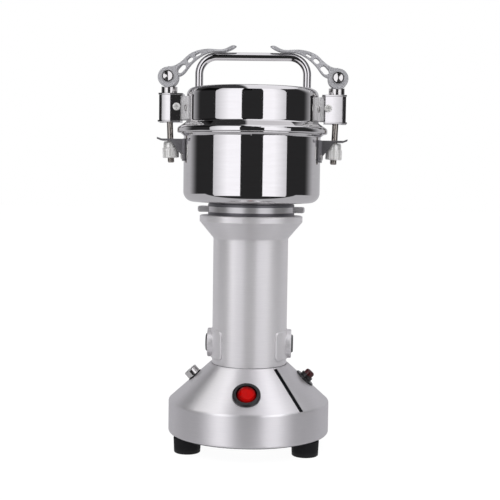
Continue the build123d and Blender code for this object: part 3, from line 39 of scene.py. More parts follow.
# Rubber feet and cord gland. Moulded black rubber: three short tapered feet screwed under the base, and the
# grommet where a mains cord would leave at the rear. The mould leaves a fine matt grain, so the rubber is a
# soft black with no clear highlight, a little greyer where it scuffs.
RUBBER_GRAIN = 0.9 * MM   # about a pixel of the render, too fine to show there
RUBBER_RELIEF = 0.08 * MM
RUBBER_SCUFF = 12 * MM


def linear(code):
    """An sRGB hex colour as the linear colour that a shader takes."""
    parts = [int(code[i:i + 2], 16) / 255 for i in (1, 3, 5)]
    return [p / 12.92 if p <= 0.04045 else ((p + 0.055) / 1.055) ** 2.4 for p in parts] + [1.0]


def add(tree, kind, settings=None, links=None):
    """Adds a shader node; settings go to its sockets or fields, and links feed its sockets."""
    made = tree.nodes.new(kind)
    for name, value in (settings or {}).items():
        if isinstance(name, int) or name in made.inputs:
            made.inputs[name].default_value = value
        else:
            setattr(made, name, value)
    for name, source in (links or {}).items():
        tree.links.new(source, made.inputs[name])
    return made


def new_finish(name):
    """A new material with an empty node tree."""
    material = bpy.data.materials.new(name)
    material.use_nodes = True
    material.node_tree.nodes.clear()
    return material, material.node_tree


def dress(material, *names):
    """Gives the named solids a material."""
    for name in names:
        for slot in nodes[name].material_slots:
            slot.material = material


moulded_rubber, tree = new_finish("moulded_rubber")
place = add(tree, "ShaderNodeTexCoord").outputs["Object"]
grain = add(tree, "ShaderNodeTexNoise", {"Scale": 1 / RUBBER_GRAIN, "Detail": 4.0}, {"Vector": place})
scuff = add(tree, "ShaderNodeTexNoise", {"Scale": 1 / RUBBER_SCUFF, "Detail": 6.0}, {"Vector": place})
colour = add(tree, "ShaderNodeMix", {"data_type": "RGBA", 6: linear("#0b0b0d"), 7: linear("#18181b")},
             {0: scuff.outputs["Fac"]})
rough = add(tree, "ShaderNodeMapRange", {"To Min": 0.55, "To Max": 0.75}, {"Value": grain.outputs["Fac"]})
bump = add(tree, "ShaderNodeBump", {"Strength": 0.25, "Distance": RUBBER_RELIEF},
           {"Height": grain.outputs["Fac"]})
surface = add(tree, "ShaderNodeBsdfPrincipled", {"Specular IOR Level": 0.25}, {
    "Base Color": colour.outputs[2], "Roughness": rough.outputs["Result"], "Normal": bump.outputs["Normal"]})
add(tree, "ShaderNodeOutputMaterial", {}, {"Surface": surface.outputs["BSDF"]})
dress(moulded_rubber, "rubber_feet", "cord_gland")


# Base plate and the screws of base, feet, column and bowl. Pressed sheet steel and pan-head screws, zinc
# plated, which leaves a pale blue-grey metal with a cloudy, uneven shine.
ZINC_CLOUD = 5 * MM


def mottled(name, patch, colours, rough, settings, detail=3.0, stretch=None, relief=None):
    """A finish that drifts between two colours over patches of a real size.

    Two values of rough make it drift in roughness too, a stretch draws the patches out along an axis, and a
    relief, as a strength and a depth, lifts them.
    """
    material, tree = new_finish(name)
    place = add(tree, "ShaderNodeTexCoord").outputs["Object"]
    if stretch:
        place = add(tree, "ShaderNodeMapping", {"Scale": stretch}, {"Vector": place}).outputs["Vector"]
    noise = add(tree, "ShaderNodeTexNoise", {"Scale": 1 / patch, "Detail": detail}, {"Vector": place})
    drift = noise.outputs["Fac"]
    colour = add(tree, "ShaderNodeMix", {
        "data_type": "RGBA", 6: linear(colours[0]), 7: linear(colours[1])}, {0: drift})
    links = {"Base Color": colour.outputs[2]}
    if rough:
        shine = add(tree, "ShaderNodeMapRange", {"To Min": rough[0], "To Max": rough[1]}, {"Value": drift})
        links["Roughness"] = shine.outputs["Result"]
    if relief:
        bump = add(tree, "ShaderNodeBump", {"Strength": relief[0], "Distance": relief[1]}, {"Height": drift})
        links["Normal"] = bump.outputs["Normal"]
    surface = add(tree, "ShaderNodeBsdfPrincipled", settings, links)
    add(tree, "ShaderNodeOutputMaterial", {}, {"Surface": surface.outputs["BSDF"]})
    return material


zinc_plate = mottled("zinc_plated_steel", ZINC_CLOUD, ("#a9adb2", "#c6c8ca"), (0.28, 0.46),
                     {"Metallic": 1.0}, detail=5.0)
dress(zinc_plate, "base_plate", "base_plate_screws", "foot_screws", "column_screws", "bowl_screws")


# Base shell and motor column. Aluminium castings turned on a lathe and lacquered: fine marks run round
# them, so a lamp stands on them as an upright band, softer on the column's thicker lacquer. The shell's
# inside is painted near-black as painted shade, so its vent slot reads black.
CONE_OUT = (0.6711, 0.7414)         # the cone's normal, outward and up
CONE_PLANE = 76.06 * MM             # distance of the cone's face from the origin, along that normal
CONE_TOP = 72.0 * MM
SKIRT_RADIUS = 68.6 * MM
SKIN = 0.5 * MM                     # what lies deeper than this is inside
LATHE_MARK = 0.35 * MM              # under half a pixel of the render, hardly seen there
ROUND_ABOUT = (0.03, 0.03, 1.0)     # draws marks out round an upright axis
BASE_METAL = 0.85
COLUMN_METAL = 0.54


def from_axis(tree, place):
    """How far a place is from the upright axis."""
    flat = add(tree, "ShaderNodeVectorMath", {"operation": "MULTIPLY", 1: (1.0, 1.0, 0.0)}, {0: place})
    reach = add(tree, "ShaderNodeVectorMath", {"operation": "LENGTH"}, {0: flat.outputs["Vector"]})
    return reach.outputs["Value"]


turned_lacquer, tree = new_finish("turned_and_lacquered_aluminium")
place = add(tree, "ShaderNodeTexCoord").outputs["Object"]
reach = from_axis(tree, place)
height = add(tree, "ShaderNodeSeparateXYZ", {}, {"Vector": place}).outputs["Z"]
rise = add(tree, "ShaderNodeMath", {"operation": "MULTIPLY", 1: CONE_OUT[1]}, {0: height})
depth = add(tree, "ShaderNodeMath", {"operation": "MULTIPLY_ADD", 1: CONE_OUT[0]},
            {0: reach, 2: rise.outputs[0]})
under_cone = add(tree, "ShaderNodeMath", {"operation": "LESS_THAN", 1: CONE_PLANE - SKIN},
                 {0: depth.outputs[0]})
under_skirt = add(tree, "ShaderNodeMath", {"operation": "LESS_THAN", 1: SKIRT_RADIUS - SKIN}, {0: reach})
under_top = add(tree, "ShaderNodeMath", {"operation": "LESS_THAN", 1: CONE_TOP - SKIN}, {0: height})
# Painted shade: a point deeper than the skin under cone, skirt and top lies inside the shell, which is
# painted near-black and not metal.
painted_shade_inside = add(tree, "ShaderNodeMath", {"operation": "MULTIPLY"},
             {0: under_cone.outputs[0], 1: under_skirt.outputs[0]})
painted_shade_inside = add(tree, "ShaderNodeMath", {"operation": "MULTIPLY"},
             {0: painted_shade_inside.outputs[0], 1: under_top.outputs[0]})
drawn_out = add(tree, "ShaderNodeMapping", {"Scale": ROUND_ABOUT}, {"Vector": place})
marks = add(tree, "ShaderNodeTexNoise", {"Scale": 1 / LATHE_MARK, "Detail": 2.0},
            {"Vector": drawn_out.outputs["Vector"]})
bright = add(tree, "ShaderNodeMix", {"data_type": "RGBA", 6: linear("#d1cfd2"), 7: linear("#dcdadc")},
             {0: marks.outputs["Fac"]})
# Painted shade: the inside takes a near-black in place of the aluminium's colour.
colour = add(tree, "ShaderNodeMix", {"data_type": "RGBA", 7: linear("#2a2a2e")},
             {0: painted_shade_inside.outputs[0], 6: bright.outputs[2]})
column = add(tree, "ShaderNodeMath", {"operation": "GREATER_THAN", 1: CONE_TOP}, {0: height})
metal = add(tree, "ShaderNodeMapRange", {"To Min": BASE_METAL, "To Max": COLUMN_METAL},
            {"Value": column.outputs[0]})
metal = add(tree, "ShaderNodeMix", {3: 0.0}, {0: painted_shade_inside.outputs[0], 2: metal.outputs["Result"]})
rough = add(tree, "ShaderNodeMapRange", {"To Min": 0.42, "To Max": 0.48}, {"Value": marks.outputs["Fac"]})
around = add(tree, "ShaderNodeTangent", {"direction_type": "RADIAL", "axis": "Z"})
surface = add(tree, "ShaderNodeBsdfPrincipled", {"Anisotropic": 0.85, "Anisotropic Rotation": 0.25}, {
    "Base Color": colour.outputs[2], "Metallic": metal.outputs[0], "Roughness": rough.outputs["Result"],
    "Tangent": around.outputs["Tangent"]})
add(tree, "ShaderNodeOutputMaterial", {}, {"Surface": surface.outputs["BSDF"]})
dress(turned_lacquer, "base_shell", "motor_column")


# Joint line between base and column. A thin grey ring laid in the joint; its grey is painted shade that
# stands in for the shadow line there, seen as one fine dull line round the foot of the column.
JOINT_SHADE_FLECK = 0.6 * MM
JOINT_SHADE_INNER = 31.5 * MM
JOINT_SHADE_OUTER = 31.98 * MM
JOINT_SHADE_FOOT = CONE_TOP + 0.05 * MM
JOINT_SHADE_EDGE = CONE_TOP + 0.25 * MM
JOINT_SHADE_TOP = CONE_TOP + 0.3 * MM
JOINT_SHADE_STEPS = 96


def turned_mesh(outline, steps, centre=(0.0, 0.0), closed=True):
    """A mesh turned about an upright axis from (radius, height) points.

    A closed outline has its last point joined to its first.
    """
    mesh = bmesh.new()
    rows = []
    for i in range(steps):
        along = math.cos(math.tau * i / steps)
        across = math.sin(math.tau * i / steps)
        rows.append([mesh.verts.new((centre[0] + r * along, centre[1] + r * across, z)) for r, z in outline])
    spans = len(outline) if closed else len(outline) - 1
    for row, other in zip(rows, rows[1:] + rows[:1]):
        for j in range(spans):
            k = (j + 1) % len(outline)
            mesh.faces.new((row[j], other[j], other[k], row[k])).smooth = True
    bmesh.ops.recalc_face_normals(mesh, faces=mesh.faces)
    return mesh


def set_out(name, mesh, material):
    """A mesh as an object in the scene, in one material."""
    data = bpy.data.meshes.new(name)
    mesh.to_mesh(data)
    mesh.free()
    data.materials.append(material)
    piece = bpy.data.objects.new(name, data)
    bpy.context.collection.objects.link(piece)
    return piece


def add_piece(name, mesh, material, body):
    """A piece of the machine that moves with a body of the frame."""
    piece = set_out(name, mesh, material)
    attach(piece, body)


# Painted shade: the ring's mottled grey stands in for the shadow line in the joint.
joint_shade = mottled("painted_joint_shade", JOINT_SHADE_FLECK, ("#5b5a5e", "#79787c"), None, {"Roughness": 0.8})
joint_shade_outline = [(JOINT_SHADE_INNER, JOINT_SHADE_FOOT), (JOINT_SHADE_OUTER, JOINT_SHADE_FOOT), (JOINT_SHADE_OUTER, JOINT_SHADE_EDGE),
                  (JOINT_SHADE_INNER, JOINT_SHADE_TOP)]
add_piece("column_joint_shade", turned_mesh(joint_shade_outline, JOINT_SHADE_STEPS), joint_shade, "frame")


# Switch, breaker and fuse bodies. Black ABS, moulded in one piece each and clipped or screwed into the
# cone: a polished black face with a faint flow mottle.
ABS_MOTTLE = 6 * MM
black_abs = mottled("moulded_black_abs", ABS_MOTTLE, ("#0d0d0e", "#1b1b1d"), (0.22, 0.34), {"IOR": 1.54})
dress(black_abs, "switch_housing", "breaker_housing", "fuse_holder")


# Rocker. Clear red polycarbonate over a neon lamp, moulded with a hard glossy face and hung in its housing.
# Its colour is painted light and shade: bright red with a faint painted glow round a spot a little below
# the middle, dark towards the edge and darker at the top, which stands in for the housing's shadow.
# Painted light and shade: the middle of the bright red spot, the span over which it fades to dark, and the
# strength of its painted glow.
PAINTED_LIGHT_MIDDLE = (0.8 * MM, -54.1 * MM, 51.5 * MM)
PAINTED_SHADE_FADE = (5.6 * MM, 10.2 * MM)
PAINTED_GLOW = 0.04
ROCKER_UP = (0.0, -CONE_OUT[0], CONE_OUT[1])
RIPPLE = 4 * MM
RIPPLE_REACH = 3 * MM
red_lens, tree = new_finish("red_polycarbonate")
place = add(tree, "ShaderNodeTexCoord").outputs["Object"]
off = add(tree, "ShaderNodeVectorMath", {"operation": "SUBTRACT", 1: PAINTED_LIGHT_MIDDLE}, {0: place})
along = add(tree, "ShaderNodeVectorMath", {"operation": "PROJECT", 1: ROCKER_UP}, {0: off.outputs["Vector"]})
across = add(tree, "ShaderNodeVectorMath", {"operation": "SUBTRACT"},
             {0: off.outputs["Vector"], 1: along.outputs["Vector"]})
span = add(tree, "ShaderNodeVectorMath", {"operation": "LENGTH"}, {0: across.outputs["Vector"]})
ripple = add(tree, "ShaderNodeTexNoise", {"Scale": 1 / RIPPLE, "Detail": 2.0}, {"Vector": place})
wave = add(tree, "ShaderNodeMath", {"operation": "MULTIPLY_ADD", 1: RIPPLE_REACH},
           {0: ripple.outputs["Fac"], 2: span.outputs["Value"]})
# Painted shade: 0 near the painted light's middle, rising to 1 towards the rocker's edge.
rocker_painted_shade = add(tree, "ShaderNodeMapRange", {
    "interpolation_type": "SMOOTHSTEP", "From Min": PAINTED_SHADE_FADE[0], "From Max": PAINTED_SHADE_FADE[1]},
    {"Value": wave.outputs[0]}).outputs["Result"]
# Painted light and shade: bright red at the middle, dark red towards the edge.
colour = add(tree, "ShaderNodeMix", {"data_type": "RGBA", 6: linear("#b40402"), 7: linear("#4a0103")},
             {0: rocker_painted_shade})
# Painted glow: a faint emission at the middle that fades out towards the edge.
glow = add(tree, "ShaderNodeMapRange", {"To Min": PAINTED_GLOW, "To Max": 0.0}, {"Value": rocker_painted_shade})
surface = add(tree, "ShaderNodeBsdfPrincipled", {
    "IOR": 1.3, "Specular IOR Level": 0.2, "Roughness": 0.16, "Emission Color": linear("#d80a0a")},
    {"Base Color": colour.outputs[2], "Emission Strength": glow.outputs["Result"]})
add(tree, "ShaderNodeOutputMaterial", {}, {"Surface": surface.outputs["BSDF"]})
dress(red_lens, "switch_rocker")


# Reset button of the breaker. Tinted red acrylic, moulded with a polished dome and sprung in the breaker's
# neck: darker than the rocker because no lamp stands behind it.
TINT_DRIFT = 2.5 * MM
red_acrylic = mottled("tinted_red_acrylic", TINT_DRIFT, ("#22080a", "#4a1214"), None,
                      {"IOR": 1.49, "Roughness": 0.1}, detail=2.0)
dress(red_acrylic, "reset_button")


# Bright small parts: fuse cap, pivot pins, saddles, rivets and the blade nut. Turned steel with bright
# nickel plate, a mirror with fine turning marks and a faint haze.
TURNING_MARK = 0.35 * MM   # under half a pixel of the render, too fine to show there
NICKEL_HAZE = 7 * MM
bright_nickel, tree = new_finish("bright_nickel_plate")
place = add(tree, "ShaderNodeTexCoord").outputs["Object"]
marks = add(tree, "ShaderNodeTexNoise", {"Scale": 1 / TURNING_MARK, "Detail": 2.0}, {"Vector": place})
haze = add(tree, "ShaderNodeTexNoise", {"Scale": 1 / NICKEL_HAZE, "Detail": 3.0}, {"Vector": place})
colour = add(tree, "ShaderNodeMix", {"data_type": "RGBA", 6: linear("#cfcdcb"), 7: linear("#e2e1df")},
             {0: haze.outputs["Fac"]})
rough = add(tree, "ShaderNodeMapRange", {"To Min": 0.08, "To Max": 0.2}, {"Value": marks.outputs["Fac"]})
surface = add(tree, "ShaderNodeBsdfPrincipled", {"Metallic": 1.0}, {
    "Base Color": colour.outputs[2], "Roughness": rough.outputs["Result"]})
add(tree, "ShaderNodeOutputMaterial", {}, {"Surface": surface.outputs["BSDF"]})
dress(bright_nickel, "fuse_cap", "left_pivot_pin", "right_pivot_pin", "clamp_saddles", "bracket_rivets",
      "blade_nut")


# Glass fuse. A glass tube with a pressed nickel cap on each end, held in the fuse holder. Glass and caps
# are one solid, told apart by where along its axis a point lies.
FUSE_AXIS = (-CONE_OUT[0], 0.0, CONE_OUT[1])
FUSE_MIDDLE = 59.8 * MM   # along the axis, from the frame's origin
FUSE_GLASS = 10 * MM
fuse_tube, tree = new_finish("fuse_glass_and_ends")
place = add(tree, "ShaderNodeTexCoord").outputs["Object"]
along = add(tree, "ShaderNodeVectorMath", {"operation": "DOT_PRODUCT", 1: FUSE_AXIS}, {0: place})
glass = add(tree, "ShaderNodeMath", {"operation": "COMPARE", 1: FUSE_MIDDLE, 2: FUSE_GLASS / 2},
            {0: along.outputs["Value"]}).outputs[0]
metal = add(tree, "ShaderNodeMath", {"operation": "SUBTRACT", 0: 1.0}, {1: glass})
colour = add(tree, "ShaderNodeMix", {"data_type": "RGBA", 6: linear("#d4d3d0"), 7: linear("#eef4f3")},
             {0: glass})
surface = add(tree, "ShaderNodeBsdfPrincipled", {"Roughness": 0.1, "IOR": 1.52}, {
    "Base Color": colour.outputs[2], "Metallic": metal.outputs[0], "Transmission Weight": glass})
add(tree, "ShaderNodeOutputMaterial", {}, {"Surface": surface.outputs["BSDF"]})
dress(fuse_tube, "glass_fuse")


# Contacts: switch terminals, commutator and brush holders. Drawn copper alloy, cut and pressed to shape:
# golden, with brown tarnish in patches.
TARNISH = 4 * MM
contact_alloy = mottled("drawn_copper_alloy", TARNISH, ("#9c6a3c", "#d9ad6a"), (0.4, 0.25),
                        {"Metallic": 1.0}, detail=5.0)
dress(contact_alloy, "switch_terminals", "commutator", "brush_holders")


# Wires in the base. Stranded copper in a soft extruded PVC sleeve, brown to the breaker's side and blue to
# the fuse's, dulled unevenly by handling.
SLEEVE_DULL = 3 * MM
wire_sleeve, tree = new_finish("extruded_pvc_sleeve")
place = add(tree, "ShaderNodeTexCoord").outputs["Object"]
side = add(tree, "ShaderNodeSeparateXYZ", {}, {"Vector": place})
right = add(tree, "ShaderNodeMath", {"operation": "GREATER_THAN", 1: 0.0}, {0: side.outputs["X"]})
dull = add(tree, "ShaderNodeTexNoise", {"Scale": 1 / SLEEVE_DULL, "Detail": 3.0}, {"Vector": place})
colour = add(tree, "ShaderNodeMix", {"data_type": "RGBA", 6: linear("#2c4f8c"), 7: linear("#5b3420")},
             {0: right.outputs[0]})
rough = add(tree, "ShaderNodeMapRange", {"To Min": 0.4, "To Max": 0.55}, {"Value": dull.outputs["Fac"]})
surface = add(tree, "ShaderNodeBsdfPrincipled", {}, {
    "Base Color": colour.outputs[2], "Roughness": rough.outputs["Result"]})
add(tree, "ShaderNodeOutputMaterial", {}, {"Surface": surface.outputs["BSDF"]})
dress(wire_sleeve, "wiring_loom")


# Motor's lower bracket. Die-cast aluminium as it leaves the mould, the seat of the lower bearing: pale grey
# with a dry, faintly grained skin.
CAST_SKIN = 1.2 * MM
CAST_RELIEF = 0.05 * MM
cast_aluminium = mottled("die_cast_aluminium", CAST_SKIN, ("#8f9094", "#a5a6aa"), (0.3, 0.42),
                         {"Metallic": 1.0}, detail=4.0, relief=(0.1, CAST_RELIEF))
dress(cast_aluminium, "lower_end_bracket")


# Upper bracket and neck ring. Castings of the same kind under a thin coat of grey-black satin paint, which
# reads as the dark bands above and below the mounting plate.
grey_black_paint = mottled("grey_black_satin_paint", CAST_SKIN, ("#66656a", "#737277"), (0.3, 0.4),
                           {"Metallic": 0.4})
dress(grey_black_paint, "upper_end_bracket", "neck_ring")


# Mounting plate. Cast aluminium with a lug on each side, screwed between column and bowl and fine turned on
# its round edge: a greyer, softer mirror than the bowl above it.
TOOL_FEED = 0.4 * MM   # about half a pixel of the render, too fine to show there
turned_aluminium = mottled("fine_turned_aluminium", TOOL_FEED, ("#d3d1d3", "#dddcdd"), (0.26, 0.34),
                           {"Metallic": 0.6}, detail=2.0, stretch=ROUND_ABOUT)
dress(turned_aluminium, "mount_disc")


# Bearings. Ball bearings on the shaft, seated in the brackets: ground steel races with dull pressed shields
# between them, told apart by the distance from the axis.
SHIELD_MIDDLE = 7.5 * MM
SHIELD_HALF = 1.0 * MM
bearing_steel, tree = new_finish("ground_bearing_steel")
place = add(tree, "ShaderNodeTexCoord").outputs["Object"]
shield = add(tree, "ShaderNodeMath", {"operation": "COMPARE", 1: SHIELD_MIDDLE, 2: SHIELD_HALF},
             {0: from_axis(tree, place)}).outputs[0]
colour = add(tree, "ShaderNodeMix", {"data_type": "RGBA", 6: linear("#c9cacb"), 7: linear("#8a8c8f")},
             {0: shield})
rough = add(tree, "ShaderNodeMapRange", {"To Min": 0.16, "To Max": 0.45}, {"Value": shield})
surface = add(tree, "ShaderNodeBsdfPrincipled", {"Metallic": 1.0}, {
    "Base Color": colour.outputs[2], "Roughness": rough.outputs["Result"]})
add(tree, "ShaderNodeOutputMaterial", {}, {"Surface": surface.outputs["BSDF"]})
dress(bearing_steel, "lower_bearing", "upper_bearing")


# Stator and armature cores. Electrical steel sheets, punched, stacked and pressed together: blue-grey, with
# the edge of each sheet showing.
SHEET_PITCH = 1.0 * MM   # such sheets are usually 0.5 mm; drawn twice as thick
SHEET_RELIEF = 0.1 * MM
WAVE_LENGTH = 0.314      # length of one wave of the pattern at a scale of 1
core_steel, tree = new_finish("stacked_electrical_steel")
place = add(tree, "ShaderNodeTexCoord").outputs["Object"]
sheets = add(tree, "ShaderNodeTexWave", {
    "bands_direction": "Z", "Scale": WAVE_LENGTH / SHEET_PITCH, "Distortion": 0.0}, {"Vector": place})
colour = add(tree, "ShaderNodeMix", {"data_type": "RGBA", 6: linear("#4a4c50"), 7: linear("#7b7e83")},
             {0: sheets.outputs["Fac"]})
bump = add(tree, "ShaderNodeBump", {"Strength": 0.3, "Distance": SHEET_RELIEF},
           {"Height": sheets.outputs["Fac"]})
surface = add(tree, "ShaderNodeBsdfPrincipled", {"Metallic": 1.0, "Roughness": 0.42}, {
    "Base Color": colour.outputs[2], "Normal": bump.outputs["Normal"]})
add(tree, "ShaderNodeOutputMaterial", {}, {"Surface": surface.outputs["BSDF"]})
dress(core_steel, "stator_core", "armature_core")


# Field coils and armature windings. Enamelled copper wire in tight layers, wound on the cores and dipped in
# amber varnish: brown-red strands under a clear coat.
WIRE_PITCH = 0.9 * MM   # drawn thicker than such wire usually is
WIRE_RELIEF = 0.25 * MM
enamelled_copper, tree = new_finish("enamelled_copper_wire")
place = add(tree, "ShaderNodeTexCoord").outputs["Object"]
strands = add(tree, "ShaderNodeTexWave", {
    "bands_direction": "DIAGONAL", "Scale": WAVE_LENGTH / WIRE_PITCH, "Distortion": 1.5,
    "Detail Scale": 60.0}, {"Vector": place})
colour = add(tree, "ShaderNodeMix", {"data_type": "RGBA", 6: linear("#6e2f16"), 7: linear("#b9683a")},
             {0: strands.outputs["Fac"]})
bump = add(tree, "ShaderNodeBump", {"Strength": 0.5, "Distance": WIRE_RELIEF},
           {"Height": strands.outputs["Fac"]})
surface = add(tree, "ShaderNodeBsdfPrincipled", {"Metallic": 0.8, "Roughness": 0.35, "Coat Weight": 0.5}, {
    "Base Color": colour.outputs[2], "Normal": bump.outputs["Normal"]})
add(tree, "ShaderNodeOutputMaterial", {}, {"Surface": surface.outputs["BSDF"]})
dress(enamelled_copper, "field_coils", "armature_windings")


# Cooling fan. One moulding in natural nylon, pressed on the shaft: milky white with a faint cloud. The
# nylon takes no polish, so it shines softly.
NYLON_CLOUD = 8 * MM
nylon = mottled("moulded_nylon", NYLON_CLOUD, ("#d8d4c8", "#e8e5dc"), None, {"Roughness": 0.45, "IOR": 1.53})
dress(nylon, "cooling_fan")


# Carbon brushes. Blocks of pressed carbon, pushed on the commutator by springs: dull black with a grey
# speckle of graphite.
GRAPHITE_SPECKLE = 0.4 * MM
carbon = mottled("pressed_carbon", GRAPHITE_SPECKLE, ("#171718", "#3a3a3c"), None, {"Roughness": 0.6})
dress(carbon, "carbon_brushes")


# Brush caps. Moulded phenolic plugs in the column's bosses, with a slot for a coin or driver: dark grey,
# slightly domed, with the mottle of the pressed powder.
PHENOLIC_MOTTLE = 2 * MM
phenolic = mottled("moulded_phenolic", PHENOLIC_MOTTLE, ("#2c2c2e", "#454548"), (0.25, 0.4), {"IOR": 1.6},
                   detail=4.0)
dress(phenolic, "brush_caps")


# Bowl, lid and handle. Stainless steel, drawn or bent and then buffed to a mirror; the mop leaves faint
# streaks round each piece that only show as a slight softening.
BUFF_STREAK = 2.5 * MM
BUFF_STRETCH = (0.15, 0.15, 1.0)
mirror_stainless = mottled("buffed_stainless_steel", BUFF_STREAK, ("#d8d6d6", "#e2e1e1"), (0.02, 0.06),
                           {"Metallic": 1.0}, stretch=BUFF_STRETCH)
dress(mirror_stainless, "bowl", "lid", "lid_handle")


# Clamp boxes. Thin stainless sheet, pressed and then buffed by hand on a soft mop, which leaves each front
# face crowned towards its outer edge, the left one later and harder. The crown is in the normal alone.
CLAMP_PLACE = 71.4 * MM
CROWN_FROM = (68.1 * MM, 56.2 * MM)   # where the left and the right face start to fall
CROWN_FALL = (34.0, 14.0)             # half the change of slope per metre, left and right
MOP_MARK = 3 * MM
buffed_sheet, tree = new_finish("buffed_stainless_sheet")
place = add(tree, "ShaderNodeTexCoord").outputs["Object"]
side = add(tree, "ShaderNodeSeparateXYZ", {}, {"Vector": place}).outputs["X"]
start = add(tree, "ShaderNodeMapRange", {
    "From Min": -CLAMP_PLACE, "From Max": CLAMP_PLACE, "To Min": CROWN_FROM[0], "To Max": CROWN_FROM[1]},
    {"Value": side})
fall = add(tree, "ShaderNodeMapRange", {
    "From Min": -CLAMP_PLACE, "From Max": CLAMP_PLACE, "To Min": -CROWN_FALL[0], "To Max": -CROWN_FALL[1]},
    {"Value": side})
out = add(tree, "ShaderNodeMath", {"operation": "ABSOLUTE"}, {0: side})
out = add(tree, "ShaderNodeMath", {"operation": "SUBTRACT"}, {0: out.outputs[0], 1: start.outputs["Result"]})
out = add(tree, "ShaderNodeMath", {"operation": "MAXIMUM", 1: 0.0}, {0: out.outputs[0]})
square = add(tree, "ShaderNodeMath", {"operation": "MULTIPLY"}, {0: out.outputs[0], 1: out.outputs[0]})
crown = add(tree, "ShaderNodeMath", {"operation": "MULTIPLY"},
            {0: square.outputs[0], 1: fall.outputs["Result"]})
bump = add(tree, "ShaderNodeBump", {"Strength": 1.0, "Distance": 1.0}, {"Height": crown.outputs[0]})
mop = add(tree, "ShaderNodeTexNoise", {"Scale": 1 / MOP_MARK, "Detail": 3.0}, {"Vector": place})
colour = add(tree, "ShaderNodeMix", {"data_type": "RGBA", 6: linear("#d6d4d4"), 7: linear("#e0dfdf")},
             {0: mop.outputs["Fac"]})
rough = add(tree, "ShaderNodeMapRange", {"To Min": 0.05, "To Max": 0.1}, {"Value": mop.outputs["Fac"]})
surface = add(tree, "ShaderNodeBsdfPrincipled", {"Metallic": 1.0}, {
    "Base Color": colour.outputs[2], "Roughness": rough.outputs["Result"], "Normal": bump.outputs["Normal"]})
add(tree, "ShaderNodeOutputMaterial", {}, {"Surface": surface.outputs["BSDF"]})
dress(buffed_sheet, "clamp_boxes")


# Lid brackets. Stainless sheet, cut, folded and blasted with fine beads, then riveted on: an even pale
# satin with no mirror in it.
BEAD_MARK = 0.5 * MM   # under a pixel of the render, too fine to show there
blasted_sheet = mottled("bead_blasted_stainless_sheet", BEAD_MARK, ("#dddcdd", "#eae9ea"), (0.3, 0.4),
                        {"Metallic": 0.4})
dress(blasted_sheet, "lid_brackets")


# Bowl hooks. The same sheet as it comes from the mill, cut and folded: a grey satin metal with a short
# grain, duller than the buffed boxes.
MILL_GRAIN = 0.7 * MM   # under a pixel of the render, too fine to show there
MILL_STRETCH = (0.2, 0.2, 1.0)
mill_sheet = mottled("mill_finish_stainless_sheet", MILL_GRAIN, ("#8c8b8e", "#9c9b9e"), (0.28, 0.36),
                     {"Metallic": 0.9}, stretch=MILL_STRETCH)
dress(mill_sheet, "bowl_hooks")


# Handle welds. The bent rod handle is welded to the lid; each leg stands in a small smooth bead of the same
# stainless steel, buffed with the lid.
HANDLE_LEG = 45.5 * MM
WELD_FOOT = 305.2   # height of the bead's foot on the lid, in millimetres
# radius and height above the foot, in millimetres
WELD_BEAD = ((3.2, 0.0), (4.8, 0.05), (4.3, 0.45), (3.7, 0.9), (3.42, 1.5), (3.2, 1.5))
WELD_STEPS = 40
weld_outline = [(r * MM, (WELD_FOOT + up) * MM) for r, up in WELD_BEAD]
for side, leg_x in (("left", -HANDLE_LEG), ("right", HANDLE_LEG)):
    add_piece(f"{side}_handle_weld", turned_mesh(weld_outline, WELD_STEPS, (leg_x, 0.0)), mirror_stainless,
              "frame")


# Shaft, blades, spacer and brush springs. Hardened steel, ground along its length to a fine grey grain; the
# springs are wound from wire of the same grey.
GRIND_LINE = 0.6 * MM
GRIND_RELIEF = 0.03 * MM
GRIND_STRETCH = (0.05, 1.0, 1.0)
ground_steel = mottled("ground_hardened_steel", GRIND_LINE, ("#9fa0a2", "#c4c5c6"), (0.2, 0.36),
                       {"Metallic": 1.0}, stretch=GRIND_STRETCH, relief=(0.1, GRIND_RELIEF))
dress(ground_steel, "motor_shaft", "lower_blade", "blade_spacer", "upper_blade", "brush_springs")


# Shaft seal and lid seal. Pale food-safe silicone, moulded as rings and pressed into place: a waxy look
# with a faint bloom.
SILICONE_BLOOM = 3 * MM
silicone = mottled("moulded_silicone", SILICONE_BLOOM, ("#cfceca", "#e4e3df"), None,
                   {"Roughness": 0.5, "IOR": 1.41})
dress(silicone, "shaft_seal", "lid_seal")


# Cam levers. Zinc die castings, tumbled and clear coated, each on its pivot pin: mid grey metal with a
# satin sheen and soft edges.
TUMBLE = 1.5 * MM
TUMBLE_RELIEF = 0.03 * MM
lever_casting = mottled("tumbled_zinc_casting", TUMBLE, ("#b8b8bb", "#c2c2c5"), (0.4, 0.44),
                        {"Metallic": 0.55}, detail=4.0, relief=(0.05, TUMBLE_RELIEF))
dress(lever_casting, "left_cam_lever", "right_cam_lever")


# Draw rods. Cold-drawn steel, nickel flashed, a warm grey; the lower end carries a rolled M5 thread, of
# which the stub below the nut shows. The thread is drawn proud of the rod so that its turns show.
DRAW_LINE = 0.5 * MM   # under a pixel of the render, too fine to show there
DRAW_STRETCH = (1.0, 1.0, 0.04)
PIN_HEIGHT = 314.8 * MM
ROD_LEAN = math.radians(2.1)
THREAD_LOW = 242.9 * MM
THREAD_PITCH = 0.8 * MM
THREAD_TURNS = 4
THREAD_ROOT = 2.5 * MM
THREAD_CREST = 2.86 * MM
ROOT_HALF = 0.32 * MM
CREST_HALF = 0.06 * MM
STEPS_PER_TURN = 24
rod_steel = mottled("cold_drawn_steel", DRAW_LINE, ("#9a948d", "#b9b4ad"), (0.14, 0.26), {"Metallic": 1.0},
                    stretch=DRAW_STRETCH)
dress(rod_steel, "left_draw_rod", "right_draw_rod")
ridge = ((THREAD_ROOT, -ROOT_HALF), (THREAD_CREST, -CREST_HALF),
         (THREAD_CREST, CREST_HALF), (THREAD_ROOT, ROOT_HALF))
